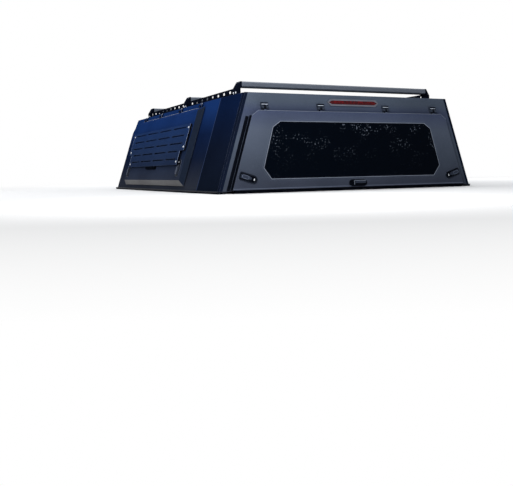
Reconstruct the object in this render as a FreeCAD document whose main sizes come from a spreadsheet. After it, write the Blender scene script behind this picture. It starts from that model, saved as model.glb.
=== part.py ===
import FreeCAD, Part
import math
import os

import Sketcher
from FreeCAD import Vector

# A steel canopy for the tray of a pickup: a leaning shell with a lift-up rear door, a lift-up
# door in each side and a load rack on the roof. Millimetres, +X right, +Y towards the cab, +Z up.
# The origin is under the middle of the whole canopy, on the surface that it stands on.
#
# Words used below. A station is a distance forward from the rear edge of the shell's base, and a
# height is counted from that base, which the rim and its seal lift off the floor.
# The side frame lies on the right wall's outer face: x is the station, y runs up the slope and z
# points out. The rear frame lies on the rear frame's outer face: x is right, y up and z out.

SIZES = {
    # Shell
    "length": 2189,
    "base_half": 852,
    "side_run": 163,
    "height": 530,
    "crease": 325,
    "tuck": 13,
    "wall_t": 28,
    "roof_t": 24,
    "rear_lean": 14,
    "frame_t": 30,
    "front_t": 28,
    "kink_low": 430,
    "kink_high": 468,
    "kink_set": 36,
    "front_set": 59,
    # Roof ribs
    "rib_height": 5,
    "rib_width": 70,
    "rib_pitch": 200,
    "rib_rear": 240,
    "rib_front_margin": 169,
    # Rim under the walls, and its seal
    "rim_t": 6,
    "rim_lip": 12,
    "rim_flange": 32,
    "clamp_hole_r": 5.5,
    "clamp_inset": 16,
    "clamp_rear": 400,
    "clamp_front_margin": 389,
    "seal_t": 8,
    "seal_step": 2,
    # Window in the front wall
    "front_window_margin": 189,
    "front_window_low": 110,
    "front_window_high": 380,
    "front_window_corner": 50,
    # Side door
    "door_rear": 553,
    "door_front_margin": 269,
    "door_low": 24,
    "door_high": 520,
    "door_lap": 32,
    "door_gap": 4.5,
    "door_flange": 4,
    "door_raise": 26,
    "door_bevel": 28,
    "door_recess": 14,
    "door_border": 74,
    "door_seal_t": 4,
    "door_seal_w": 16,
    # Side door hinges
    "side_axis_up": 10,
    "side_axis_out": 12,
    "side_hinge_inner": 221,
    "side_hinge_margin": 73.5,
    "side_cover_low": 7.5,
    "side_cover_high": 20,
    "side_cover_t": 10,
    # Hinge barrels, alike on all doors
    "barrel_r": 6,
    "barrel_half": 22,
    "barrel_arm": 8,
    "barrel_play": 0.8,
    "pin_r": 2.5,
    "pin_play": 0.1,
    # Slotted plate on the side door
    "plate_margin": 43.5,
    "plate_step": 68,
    "plate_low": 144,
    "plate_notch": 236,
    "plate_high": 403,
    "plate_t": 3,
    "plate_stand": 12,
    "plate_fold": 7,
    "slot_top": 384,
    "slot_rows": 3,
    "slot_low_rows": 2,
    "slot_pitch": 50.5,
    "slot_width": 9,
    "slot_gap": 48,
    "slot_margin": 64,
    "slot_low_margin": 52,
    "spacer_r": 9,
    "spacer_in": 22,
    # Catch under the plate
    "catch_half": 104,
    "catch_low": 126,
    "catch_high": 143,
    "catch_t": 14,
    # Corner locks, alike on all doors
    "lock_length": 108,
    "lock_width": 46,
    "lock_t": 5,
    "paddle_length": 66,
    "paddle_width": 28,
    "paddle_t": 8,
    "key_r": 9,
    "key_t": 7,
    "key_out": 34,
    "side_lock_in": 92,
    "side_lock_up": 105,
    # Side door struts
    "strut_in": 26,
    "side_strut_out": 34,
    "side_pin_down": 75,
    "side_foot_down": 330,
    "side_tube_length": 150,
    "tube_r": 9,
    "tube_bore": 4.5,
    "tube_neck": 12,
    "neck_r": 5,
    "tube_floor": 4,
    "rod_r": 4,
    "eye_r": 9,
    "eye_half": 6,
    "eye_play": 0.8,
    "stud_r": 4,
    "stud_play": 0.1,
    "stud_head_r": 7,
    "stud_head_t": 3,
    "side_rod_tail": 22,
    "strut_post": 10,
    "strut_post_half": 13,
    # Rear door
    "pillar_w": 60,
    "rear_door_low": 4,
    "rear_door_shoulder": 406,
    "rear_door_top": 435,
    "rear_door_corner": 40,
    "rear_door_lap": 26,
    "rear_door_t": 25,
    "rear_door_bevel": 4,
    "window_low": 62,
    "window_low_margin": 215,
    "window_foot": 121,
    "window_foot_margin": 153,
    "window_shoulder": 340,
    "window_shoulder_margin": 147,
    "window_top": 371,
    "window_top_margin": 181,
    "glass_t": 5,
    "glass_lap": 12,
    "glass_play": 1.5,
    "glass_sink": 1,
    "rear_seal_w": 14,
    "sweep_t": 14,
    "sweep_drop": 8,
    "sweep_in": 20,
    # Rear door hinges
    "rear_axis_up": 13,
    "rear_axis_out": 14,
    "rear_hinge_inner": 219,
    "rear_hinge_margin": 122,
    "rear_cover_low": 8,
    "rear_cover_high": 28,
    "rear_cover_t": 12,
    # Rear door handle and locks
    "handle_half": 60,
    "handle_low": 19,
    "handle_high": 43,
    "handle_t": 6,
    "handle_grip": 8,
    "handle_rim": 6,
    "rear_lock_in": 73,
    "rear_lock_up": 68,
    "rear_lock_tilt": 17,
    # Rear door struts
    "rear_strut_margin": 104,
    "rear_pin_down": 190,
    "rear_pin_in": 28,
    "rear_foot_down": 75,
    "rear_foot_in": 350,
    "rear_tube_length": 232,
    "rear_rod_tail": 22,
    "foot_bracket_half": 16,
    "foot_bracket_gap": 6,
    # Stop lamp
    "lamp_up": 487,
    "lamp_half": 171,
    "lamp_high": 19,
    "lamp_point": 20,
    "lamp_t": 9,
    "lamp_rim": 8,
    "lens_play": 0.5,
    "lens_sink": 2,
    # Rack rails
    "rail_in": 43,
    "rail_t": 4,
    "rail_height": 44,
    "rail_foot": 32,
    "rail_rear": 150,
    "rail_front_margin": 253,
    "hole_margin": 56,
    "hole_count": 19,
    "hole_length": 34,
    "hole_width": 15,
    "hole_up": 27,
    # Crossbars
    "bar_in": 14,
    "bar_depth": 60,
    "bar_height": 32,
    "bar_corner": 6,
    "bar_groove": 10,
    "bar_groove_deep": 9,
    "bar_margin": 34,
    "foot_top_in": 6,
    "foot_reach": 18,
    "foot_slope": 40,
}


class Size:
    """A length with the formula that ties it to the sheet."""

    def __init__(self, value, formula):
        self.value = value
        self.formula = formula

    def __add__(self, other):
        other = size(other)
        return Size(self.value + other.value, f"({self.formula} + {other.formula})")

    def __sub__(self, other):
        other = size(other)
        return Size(self.value - other.value, f"({self.formula} - {other.formula})")

    def __mul__(self, other):
        other = size(other)
        return Size(self.value * other.value, f"({self.formula} * {other.formula})")

    def __truediv__(self, other):
        other = size(other)
        return Size(self.value / other.value, f"({self.formula} / {other.formula})")

    def __neg__(self):
        return Size(-self.value, f"(0 - {self.formula})")

    __radd__ = __add__

    def __rmul__(self, other):
        return size(other) * self

    def __rsub__(self, other):
        return size(other) - self


def size(number):
    """A plain number, or a Size, as a Size."""
    return number if isinstance(number, Size) else Size(number, f"({number:.9g})")


def root(square):
    return Size(math.sqrt(square.value), f"sqrt({square.formula})")


def arctan(ratio):
    return Size(math.degrees(math.atan(ratio.value)), f"(atan({ratio.formula}) / 1 deg)")


def placement(x, y, z, yaw, pitch, roll):
    """The formula of a placement from a point and three turns."""
    point = "; ".join(size(number).formula for number in (x, y, z))
    turns = "; ".join(size(number).formula for number in (yaw, pitch, roll))
    return f"create(<<placement>>; create(<<vector>>; {point}); create(<<rotation>>; {turns}))"


doc = FreeCAD.newDocument("Canopy")
sheet = doc.addObject("Spreadsheet::Sheet", "Sizes")
for row, (alias, number) in enumerate(SIZES.items(), start=1):
    sheet.set(f"A{row}", alias)
    sheet.set(f"B{row}", str(number))
    sheet.setAlias(f"B{row}", alias)
doc.recompute()
s = type("Names", (), {alias: Size(number, f"Sizes.{alias}") for alias, number in SIZES.items()})

# Slopes and the three frames
side_slope = s.side_run / s.height
side_stretch = root(side_slope * side_slope + 1)
side_lean = arctan(side_slope)
rear_slope = s.rear_lean / s.height
rear_stretch = root(rear_slope * rear_slope + 1)
rear_half = s.base_half - s.tuck
top_half = s.base_half - s.side_run
door_front = s.length - s.door_front_margin
drop = s.rim_t + s.seal_t
rear_reach = s.door_gap + s.rear_door_t + s.lock_t + s.paddle_t
front_reach = s.rim_lip
middle = (s.length + front_reach - rear_reach) / 2
UPRIGHT = placement(0, -middle, drop, 0, 0, 0)
SIDE = placement(s.base_half, -middle, drop, 90, 0, 90 - side_lean)
REAR = placement(0, -middle, drop, 0, 0, 90 - arctan(rear_slope))


def part_body(label, frame):
    """An empty body, named as its node and placed in one of the frames."""
    body = doc.addObject("PartDesign::Body", label)
    body.Label = label
    body.AllowCompound = True
    body.setExpression("Placement", frame)
    return body


def sketch_on(body, name, role, level=0, across=0, up=0):
    """A sketch on one of the body's own planes, moved by level along the plane's normal."""
    sketch = body.newObject("Sketcher::SketchObject", f"{body.Name}_{name}")
    plane = [feature for feature in body.Origin.OriginFeatures if feature.Role == role][0]
    sketch.AttachmentSupport = [(plane, "")]
    sketch.MapMode = "FlatFace"
    for axis, shift in (("x", across), ("y", up), ("z", level)):
        sketch.setExpression(f"AttachmentOffset.Base.{axis}", size(shift).formula)
    return sketch


def hold(sketch, constraints, formulas):
    """Add constraints in one go, and tie the last ones to their formulas."""
    numbers = sketch.addConstraint(constraints)
    for number, formula in zip(numbers[-len(formulas):], formulas):
        sketch.setExpression(f"Constraints[{number}]", formula)


def polygon(sketch, corners):
    """A closed outline of straight lines, with each corner held across and up."""
    places = [(size(across), size(up)) for across, up in corners]
    points = [Vector(across.value, up.value, 0) for across, up in places]
    ends = points[1:] + points[:1]
    lines = sketch.addGeometry([Part.LineSegment(start, end)
                                for start, end in zip(points, ends)], False)
    joints = [Sketcher.Constraint("Coincident", line, 2, following, 1)
              for line, following in zip(lines, lines[1:] + lines[:1])]
    reaches = []
    for line, place in zip(lines, places):
        for kind, distance in zip(("DistanceX", "DistanceY"), place):
            reaches.append((Sketcher.Constraint(kind, -1, 1, line, 1, distance.value),
                            distance.formula))
    hold(sketch, joints + [constraint for constraint, formula in reaches],
         [formula for constraint, formula in reaches])


def rectangle(sketch, left, low, right, high):
    polygon(sketch, [(left, low), (right, low), (right, high), (left, high)])


def facets(sketch, radius, across=0, up=0):
    """An eight-sided outline whose flats lie at the radius, one of them facing up."""
    corner = radius / math.cos(math.pi / 8)
    angles = [math.pi * (2 * side + 1) / 8 for side in range(8)]
    polygon(sketch, [(across + corner * math.sin(angle), up + corner * math.cos(angle))
                     for angle in angles])


def circle(sketch, across, up, radius):
    across, up = size(across), size(up)
    centre = Vector(across.value, up.value, 0)
    number = sketch.addGeometry(Part.Circle(centre, Vector(0, 0, 1), radius.value), False)
    held = [Sketcher.Constraint("DistanceX", -1, 1, number, 3, across.value),
            Sketcher.Constraint("DistanceY", -1, 1, number, 3, up.value),
            Sketcher.Constraint("Radius", number, radius.value)]
    hold(sketch, held, [across.formula, up.formula, radius.formula])


def facet_slot(sketch, across, up, length, width):
    """A slot along the sketch's first axis, with ends rounded in four straight runs."""
    reach = (length - width) / 2
    radius = width / 2
    angles = [math.pi * step / 4 for step in range(-2, 3)]
    right = [(reach + radius * math.cos(angle), radius * math.sin(angle)) for angle in angles]
    left = [(-x, y) for x, y in reversed(right)]
    polygon(sketch, [(across + x, up + y) for x, y in right + left])


def round_slot(sketch, across, up, length, width):
    """A slot along the sketch's first axis, with true round ends."""
    reach = (length - width) / 2
    radius = width / 2
    centres = [across - reach, across + reach]
    left, right = [Vector(centre.value, up.value, 0) for centre in centres]
    rise = Vector(0, radius.value, 0)
    normal = Vector(0, 0, 1)
    quarter = math.pi / 2
    pieces = sketch.addGeometry([
        Part.ArcOfCircle(Part.Circle(left, normal, radius.value), quarter, 3 * quarter),
        Part.LineSegment(left - rise, right - rise),
        Part.ArcOfCircle(Part.Circle(right, normal, radius.value), -quarter, quarter),
        Part.LineSegment(right + rise, left + rise)], False)
    joints = [Sketcher.Constraint("Tangent", piece, 2, following, 1)
              for piece, following in zip(pieces, pieces[1:] + pieces[:1])]
    held = []
    for arc, centre in zip(pieces[::2], centres):
        held.append((Sketcher.Constraint("DistanceX", -1, 1, arc, 3, centre.value), centre))
        held.append((Sketcher.Constraint("DistanceY", -1, 1, arc, 3, up.value), up))
    held.append((Sketcher.Constraint("Radius", pieces[0], radius.value), radius))
    hold(sketch, joints + [constraint for constraint, distance in held],
         [distance.formula for constraint, distance in held])


def pad(body, sketch, thickness, reverse=False, both_ways=False):
    feature = body.newObject("PartDesign::Pad", f"{sketch.Name}_pad")
    feature.Profile = sketch
    feature.setExpression("Length", size(thickness).formula)
    feature.Reversed = reverse
    if both_ways:
        feature.SideType = "Symmetric"
    sketch.Visibility = False
    return feature


def pocket(body, sketch, depth=None, reverse=False):
    """Cut the sketch's outline: to a depth, or else right through on both sides."""
    feature = body.newObject("PartDesign::Pocket", f"{sketch.Name}_cut")
    feature.Profile = sketch
    if depth is None:
        feature.Type = "ThroughAll"
        feature.SideType = "Symmetric"
    else:
        feature.setExpression("Length", size(depth).formula)
        feature.Reversed = reverse
    return feature


def repeated(body, cut, direction, reach, count):
    """Repeat a cut along an axis of its sketch, over a reach."""
    row = body.newObject("PartDesign::LinearPattern", f"{cut.Name}_row")
    row.Originals = [cut]
    row.Direction = direction
    row.setExpression("Length", size(reach).formula)
    row.setExpression("Occurrences", size(count).formula)
    body.Tip = row


def turned(body, sketch):
    """Turn the outline right round the sketch's horizontal axis."""
    feature = body.newObject("PartDesign::Revolution", f"{sketch.Name}_turn")
    feature.Profile = sketch
    feature.ReferenceAxis = (sketch, ["H_Axis"])
    feature.Angle = 360
    return feature


def loft(body, sketches):
    feature = body.newObject("PartDesign::AdditiveLoft", f"{sketches[0].Name}_loft")
    feature.Profile = sketches[0]
    feature.Sections = sketches[1:]
    feature.Ruled = True
    return feature


def across_sketch(body, name, station):
    """A sketch across the canopy: x is right and y is up, at a station."""
    return sketch_on(body, name, "XZ_Plane", level=-size(station))


def side_sketch(body, name):
    """In an upright body, a sketch in the side frame."""
    sketch = sketch_on(body, name, "YZ_Plane")
    sketch.clearExpression("AttachmentOffset.Base.x")
    sketch.clearExpression("AttachmentOffset.Base.y")
    sketch.clearExpression("AttachmentOffset.Base.z")
    sketch.setExpression("AttachmentOffset",
                         placement(0, 0, s.base_half, 0, 0, -side_lean))
    return sketch


def mirror_image(source, label):
    """The left-hand twin of a right-hand piece."""
    twin = doc.addObject("Part::Mirroring", label)
    twin.Label = label
    twin.Source = source
    twin.Base = Vector(0, 0, 0)
    twin.Normal = Vector(1, 0, 0)
    return twin


def grouped(label, pieces):
    """One node of several pieces that don't touch."""
    group = doc.addObject("Part::Compound", label)
    group.Label = label
    group.Links = pieces
    return group


# Shared profiles. Each row of a table is a station or a height with what belongs to it.
WALL_STATIONS = [
    # station, how far the wall is tucked in there
    (size(0), s.tuck),
    (s.crease, size(0)),
    (s.length, size(0)),
]
FRONT_LINE = [
    # height, how far the front face is set back there
    (size(0), size(0)),
    (s.kink_low, size(0)),
    (s.kink_high, s.kink_set),
    (s.height, s.front_set),
]


def half_width(up, tuck=0):
    """Outer half width of the shell at a height."""
    return s.base_half - tuck - side_slope * up


def rear_face(up, depth):
    """Station of a face parallel to the rear frame's outer face, at a depth inside it."""
    return rear_slope * up + depth * rear_stretch


def trim_rear(body, depth):
    """Cut away all that lies behind a face parallel to the rear one."""
    sketch = sketch_on(body, "rear_trim", "YZ_Plane")
    beyond = s.length / 4
    polygon(sketch, [(-beyond, -beyond), (rear_face(-beyond, depth), -beyond),
                     (rear_face(s.height + beyond, depth), s.height + beyond),
                     (-beyond, s.height + beyond)])
    pocket(body, sketch)


def front_outline(depth):
    """Corners of the front face's side view, moved back by a depth, from the base up."""
    return [(s.length - back - depth, up) for up, back in FRONT_LINE]


def trim_front(body, depth):
    """Cut away all that lies in front of the front face."""
    sketch = sketch_on(body, "front_trim", "YZ_Plane")
    beyond = s.length / 4
    corners = front_outline(depth)
    corners[0] = (corners[0][0], -beyond)
    last = s.length - s.front_set - depth
    polygon(sketch, corners + [(last, s.height + beyond), (s.length + beyond, s.height + beyond),
                               (s.length + beyond, -beyond)])
    pocket(body, sketch)


# Shell
def side_wall():
    body = part_body("side_wall_right", UPRIGHT)
    sections = []
    for number, (station, tuck) in enumerate(WALL_STATIONS):
        sketch = across_sketch(body, f"section{number}", station)
        polygon(sketch, [(half_width(0, tuck), 0), (half_width(s.height, tuck), s.height),
                         (half_width(s.height, tuck) - s.wall_t, s.height),
                         (half_width(0, tuck) - s.wall_t, 0)])
        sections.append(sketch)
    loft(body, sections)
    trim_rear(body, s.frame_t)
    trim_front(body, 0)
    opening = side_sketch(body, "opening")
    rectangle(opening, s.door_rear + s.door_lap, s.door_low + s.door_lap,
              door_front - s.door_lap, s.door_high - s.door_lap)
    pocket(body, opening)
    return body


def roof_panel():
    body = part_body("roof_panel", UPRIGHT)
    under = s.height - s.roof_t
    sections = []
    for number, (station, tuck) in enumerate(WALL_STATIONS):
        sketch = across_sketch(body, f"section{number}", station)
        low = half_width(under, tuck) - s.wall_t
        high = half_width(s.height, tuck) - s.wall_t
        polygon(sketch, [(-low, under), (low, under), (high, s.height), (-high, s.height)])
        sections.append(sketch)
    loft(body, sections)
    trim_rear(body, s.frame_t)
    trim_front(body, 0)
    ribs = sketch_on(body, "ribs", "XY_Plane", level=s.height)
    for number in range(-2, 3):
        centre = s.rib_pitch * number
        rectangle(ribs, centre - s.rib_width / 2, s.rib_rear, centre + s.rib_width / 2,
                  s.length - s.rib_front_margin)
    pad(body, ribs, s.rib_height)
    return body


def front_wall():
    body = part_body("front_wall", UPRIGHT)
    profile = sketch_on(body, "profile", "YZ_Plane")
    under = s.height - s.roof_t
    set_under = s.kink_set + (s.front_set - s.kink_set) * (
        (under - s.kink_high) / (s.height - s.kink_high))
    outer = front_outline(0)[:3] + [(s.length - set_under, under)]
    inner = [(station - s.front_t, up) for station, up in reversed(outer)]
    polygon(profile, outer + inner)
    pad(body, profile, 2 * s.base_half, both_ways=True)
    trim = sketch_on(body, "side_trim", "XZ_Plane")
    beyond = s.base_half * 2
    low = s.base_half - s.wall_t
    high = half_width(s.height) - s.wall_t
    for hand in (1, -1):
        polygon(trim, [(hand * low, 0), (hand * beyond, 0), (hand * beyond, s.height),
                       (hand * high, s.height)])
    pocket(body, trim)
    window = sketch_on(body, "window", "XZ_Plane")
    polygon(window, front_window(0))
    pocket(body, window)
    rebate = across_sketch(body, "rebate", s.length)
    polygon(rebate, front_window(s.glass_lap))
    pocket(body, rebate, s.glass_t + s.glass_sink, reverse=True)
    return body


def front_window(grow):
    """The front window's outline, a rectangle with its corners cut, grown by a margin."""
    half = top_half - s.front_window_margin + grow
    low = s.front_window_low - grow
    high = s.front_window_high + grow
    corner = s.front_window_corner
    return [(-half, low + corner), (-half + corner, low), (half - corner, low),
            (half, low + corner), (half, high - corner), (half - corner, high),
            (-half + corner, high), (-half, high - corner)]


def front_glass():
    body = part_body("front_glass", UPRIGHT)
    face = across_sketch(body, "face", s.length - s.glass_sink)
    polygon(face, front_window(s.glass_lap - s.glass_play))
    pad(body, face, s.glass_t)
    return body


def door_side(up):
    """Half width of the rear door at a height on it."""
    return rear_half - s.pillar_w - side_slope * up


def rear_door_outline(inset, low):
    """The right half of the rear door's outline from a height up, moved in by a margin."""
    shoulder = s.rear_door_shoulder - inset
    corner = door_side(shoulder) - inset
    return [(door_side(low) - inset, low), (corner, shoulder),
            (corner - s.rear_door_corner, s.rear_door_top - inset)]


def both_hands(half):
    """A whole outline from its right half, listed from the bottom up."""
    return half + [(-across, up) for across, up in reversed(half)]


def rear_frame():
    body = part_body("rear_frame", REAR)
    outline = sketch_on(body, "outline", "XY_Plane")
    top = s.height * rear_stretch
    opening = rear_door_outline(s.rear_door_lap, size(0))
    polygon(outline, [(-rear_half, 0), (s.side_run - rear_half, top), (rear_half - s.side_run, top),
                      (rear_half, 0)] + both_hands(opening))
    pad(body, outline, s.frame_t, reverse=True)
    # The frame leans, so its foot is cut level to stand flat on the rim
    foot = sketch_on(body, "foot", "YZ_Plane")
    behind = -s.frame_t * 2
    polygon(foot, [(behind, 0), (0, 0), (-rear_slope * behind, behind), (behind, behind)])
    pocket(body, foot)
    return body


def rim_outline(sketch, lip, inner):
    """A plan view open at the rear: round the walls outside, and inside at a distance."""
    outer = [(rear_half + lip, 0), (s.base_half + lip, s.crease), (s.base_half + lip,
             s.length + lip)]
    inside = [(s.base_half - inner, s.length - inner), (s.base_half - inner, 0)]
    half = outer + [(-(s.base_half + lip), s.length + lip), (-(s.base_half + lip), s.crease),
                    (-(rear_half + lip), 0)]
    hole = [(-(s.base_half - inner), 0), (-(s.base_half - inner), s.length - inner)] + inside
    polygon(sketch, half + hole)


def base_rim():
    body = part_body("base_rim", UPRIGHT)
    plan = sketch_on(body, "plan", "XY_Plane")
    rim_outline(plan, s.rim_lip, s.wall_t + s.rim_flange)
    pad(body, plan, s.rim_t, reverse=True)
    holes = sketch_on(body, "holes", "XY_Plane")
    across = s.base_half - s.wall_t - s.clamp_inset
    for hand in (1, -1):
        for station in (s.clamp_rear, s.length - s.clamp_front_margin):
            circle(holes, hand * across, station, s.clamp_hole_r)
    pocket(body, holes)
    return body


def rim_seal():
    body = part_body("rim_seal", UPRIGHT)
    plan = sketch_on(body, "plan", "XY_Plane", level=-s.rim_t)
    rim_outline(plan, s.rim_lip - s.seal_step, s.wall_t + s.seal_step)
    pad(body, plan, s.seal_t, reverse=True)
    return body


# Side door, in the side frame
door_middle = (s.door_rear + door_front) / 2
door_back = s.door_gap
door_face = s.door_gap + s.door_flange + s.door_raise
side_axis = (s.door_high + s.side_axis_up, s.side_axis_out)
door_half = (door_front - s.door_rear) / 2
side_hinge_outer = door_half - s.side_hinge_margin
rear_hinge_outer = top_half - s.rear_hinge_margin
SIDE_HINGES = [door_middle + offset
               for offset in (-side_hinge_outer, -s.side_hinge_inner, s.side_hinge_inner,
                              side_hinge_outer)]
REAR_HINGES = [-rear_hinge_outer, -s.rear_hinge_inner, s.rear_hinge_inner, rear_hinge_outer]


def fixed_hinges(label, frame, axis, centres, cover):
    """Covers with two knuckles and a pin each, on the shell. The cover is low, high and thick."""
    body = part_body(label, frame)
    up, out = axis
    low, high, thick = cover
    covers = sketch_on(body, "covers", "XY_Plane")
    for centre in centres:
        rectangle(covers, centre - s.barrel_half, up + low, centre + s.barrel_half, up + high)
    pad(body, covers, thick)
    webs = sketch_on(body, "webs", "XY_Plane", level=out - s.barrel_r)
    for centre in centres:
        rectangle(webs, centre - s.barrel_half, up, centre - s.barrel_arm,
                  up + low + s.barrel_r / 2)
        rectangle(webs, centre + s.barrel_arm, up, centre + s.barrel_half,
                  up + low + s.barrel_r / 2)
    pad(body, webs, s.barrel_r)
    for number, centre in enumerate(centres):
        for start in (centre - s.barrel_half, centre + s.barrel_arm):
            knuckle = sketch_on(body, f"knuckle{number}", "YZ_Plane", level=start, across=up,
                                up=out)
            facets(knuckle, s.barrel_r)
            pad(body, knuckle, s.barrel_half - s.barrel_arm)
    pins = sketch_on(body, "pins", "XY_Plane", level=out, up=up)
    for centre in centres:
        rectangle(pins, centre - s.barrel_arm, 0, centre + s.barrel_arm, s.pin_r)
    turned(body, pins)
    return body


def door_arms(body, axis, centres, top, behind):
    """Arms from a door's top edge up to the knuckles that turn on the shell's pins."""
    up, out = axis
    half = s.barrel_arm - s.barrel_play
    bore = s.pin_r + s.pin_play
    webs = sketch_on(body, "arms", "XY_Plane", level=behind)
    for centre in centres:
        rectangle(webs, centre - half, top - s.barrel_r, centre + half, up - bore)
    pad(body, webs, out + s.barrel_r - behind)
    for number, centre in enumerate(centres):
        knuckle = sketch_on(body, f"knuckle{number}", "YZ_Plane", level=centre, across=up, up=out)
        facets(knuckle, s.barrel_r)
        facets(knuckle, bore)
        pad(body, knuckle, half * 2, both_ways=True)


def side_door_panel():
    body = part_body("side_door_panel_right", SIDE)
    flange = sketch_on(body, "flange", "XY_Plane", level=door_back)
    rectangle(flange, s.door_rear, s.door_low, door_front, s.door_high)
    pad(body, flange, s.door_flange)
    foot = sketch_on(body, "pan_foot", "XY_Plane", level=door_back + s.door_flange)
    rectangle(foot, s.door_rear, s.door_low, door_front, s.door_high)
    face = sketch_on(body, "pan_face", "XY_Plane", level=door_face)
    rectangle(face, s.door_rear + s.door_bevel, s.door_low + s.door_bevel,
              door_front - s.door_bevel, s.door_high - s.door_bevel)
    loft(body, [foot, face])
    recess = sketch_on(body, "recess", "XY_Plane", level=door_back)
    rectangle(recess, s.door_rear + s.door_border, s.door_low + s.door_border,
              door_front - s.door_border, s.door_high - s.door_border)
    pocket(body, recess, s.door_recess, reverse=True)
    door_arms(body, side_axis, SIDE_HINGES, s.door_high, door_back)
    return body


def side_door_seal():
    body = part_body("side_door_seal_right", SIDE)
    ring = sketch_on(body, "ring", "XY_Plane")
    for margin in (0, s.door_seal_w):
        edge = s.door_lap - margin
        rectangle(ring, s.door_rear + edge, s.door_low + edge, door_front - edge,
                  s.door_high - edge)
    pad(body, ring, s.door_seal_t)
    return body


def slotted_plate():
    body = part_body("slotted_plate_right", SIDE)
    inner = door_face + s.plate_stand

    half = door_half - s.plate_margin
    low_half = half - s.plate_step

    def outline(inset):
        right = [(low_half - inset, s.plate_low + inset), (low_half - inset, s.plate_notch + inset),
                 (half - inset, s.plate_notch + inset), (half - inset, s.plate_high - inset)]
        return [(door_middle + across, up) for across, up in both_hands(right)]

    face = sketch_on(body, "face", "XY_Plane", level=inner)
    polygon(face, outline(0))
    pad(body, face, s.plate_t)
    fold = sketch_on(body, "fold", "XY_Plane", level=inner)
    polygon(fold, outline(0))
    polygon(fold, outline(s.plate_t))
    pad(body, fold, s.plate_fold, reverse=True)
    spacers = sketch_on(body, "spacers", "XY_Plane", level=inner)
    for hand in (1, -1):
        for edge, up in ((half, s.plate_high - s.spacer_in), (half, s.plate_notch + s.spacer_in),
                         (low_half, s.plate_low + s.spacer_in)):
            facets(spacers, s.spacer_r, door_middle + hand * (edge - s.spacer_in), up)
    pad(body, spacers, s.plate_stand, reverse=True)
    gap = s.slot_gap / 2
    length = (half - s.slot_margin - gap - s.slot_gap) / 2
    upper = s.slot_top - s.slot_pitch * (s.slot_rows - 1)
    for name, up, outer_end, rows in (
            ("upper", s.slot_top, half - s.slot_margin, s.slot_rows),
            ("lower", upper - s.slot_pitch, low_half - s.slot_low_margin, s.slot_low_rows)):
        slots = sketch_on(body, f"{name}_slots", "XY_Plane", level=inner + s.plate_t)
        for start, end in ((gap, gap + length), (gap + length + s.slot_gap, outer_end)):
            for hand in (1, -1):
                facet_slot(slots, door_middle + hand * (start + end) / 2, up, end - start,
                           s.slot_width)
        cut = pocket(body, slots, s.plate_t * 2)
        # The sketch's vertical axis points up and the rows go down
        repeated(body, cut, (slots, ["V_Axis"]), s.slot_pitch * (rows - 1), rows)
        body.Tip.Reversed = True
    return body


def side_door_catch():
    body = part_body("side_door_catch_right", SIDE)
    bar = sketch_on(body, "bar", "XY_Plane", level=door_face)
    rectangle(bar, door_middle - s.catch_half, s.catch_low, door_middle + s.catch_half,
              s.catch_high)
    pad(body, bar, s.catch_t)
    return body


def lock_body(label, frame):
    """A corner lock about its centre: a round-ended plate, a paddle and a key barrel."""
    body = part_body(label, frame)
    plate = sketch_on(body, "plate", "XY_Plane")
    facet_slot(plate, 0, 0, s.lock_length, s.lock_width)
    pad(body, plate, s.lock_t)
    paddle = sketch_on(body, "paddle", "XY_Plane", level=s.lock_t)
    facet_slot(paddle, -(s.lock_length - s.paddle_length) / 4, 0, s.paddle_length,
               s.paddle_width)
    pad(body, paddle, s.paddle_t)
    key = sketch_on(body, "key", "XY_Plane", level=s.lock_t)
    facets(key, s.key_r, s.key_out)
    pad(body, key, s.key_t)
    return body


def side_door_locks():
    locks = []
    for name, station in (("rear", s.door_rear + s.side_lock_in),
                          ("front", door_front - s.side_lock_in)):
        seat = placement(station, s.side_lock_up + s.door_low, door_face, 90, 0, 0)
        locks.append(lock_body(f"side_lock_{name}", f"{SIDE} * {seat}"))
    return grouped("side_door_locks_right", locks)


# Struts. Each is drawn along the first axis of its own frame, from its foot to its rod's end.
def strut_tube(label, frame, length):
    body = part_body(label, frame)
    tube = sketch_on(body, "tube", "YZ_Plane", level=s.tube_neck)
    facets(tube, s.tube_r)
    pad(body, tube, length - s.tube_neck)
    floor = s.tube_neck + s.tube_floor
    hollow = sketch_on(body, "hollow", "YZ_Plane", level=floor)
    facets(hollow, s.tube_bore)
    pocket(body, hollow, length - floor, reverse=True)
    neck = sketch_on(body, "neck", "YZ_Plane", level=s.eye_r / 2)
    facets(neck, s.neck_r)
    pad(body, neck, s.tube_neck - s.eye_r / 2)
    eye = sketch_on(body, "eye", "XY_Plane", level=-s.eye_half)
    facets(eye, s.eye_r)
    pad(body, eye, s.eye_half * 2)
    bore = sketch_on(body, "eye_bore", "XY_Plane")
    facets(bore, s.stud_r + s.stud_play)
    pocket(body, bore)
    return body


def strut_rod(label, frame, start, length):
    body = part_body(label, frame)
    rod = sketch_on(body, "rod", "YZ_Plane", level=start)
    facets(rod, s.rod_r)
    pad(body, rod, length - start)
    end = sketch_on(body, "end", "XY_Plane", level=-s.eye_half)
    facets(end, s.eye_r, length)
    pad(body, end, s.eye_half * 2)
    return body


def foot_stud(body, name, base, tip, up, out, head_base=True):
    """A round stud along the body's first axis, from a base to the head at its tip."""
    inward = 1 if tip.value > base.value else -1
    pin = sketch_on(body, f"{name}_pin", "XY_Plane", level=out, up=up)
    left, right = (base, tip) if inward == 1 else (tip, base)
    rectangle(pin, left, 0, right, s.stud_r)
    turned(body, pin)
    starts = [tip if inward == 1 else tip - s.stud_head_t]
    if head_base:
        starts.append(base if inward == 1 else base - s.stud_head_t)
    for number, start in enumerate(starts):
        head = sketch_on(body, f"{name}_head{number}", "YZ_Plane", level=start, across=up, up=out)
        facets(head, s.stud_head_r)
        pad(body, head, s.stud_head_t)


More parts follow.
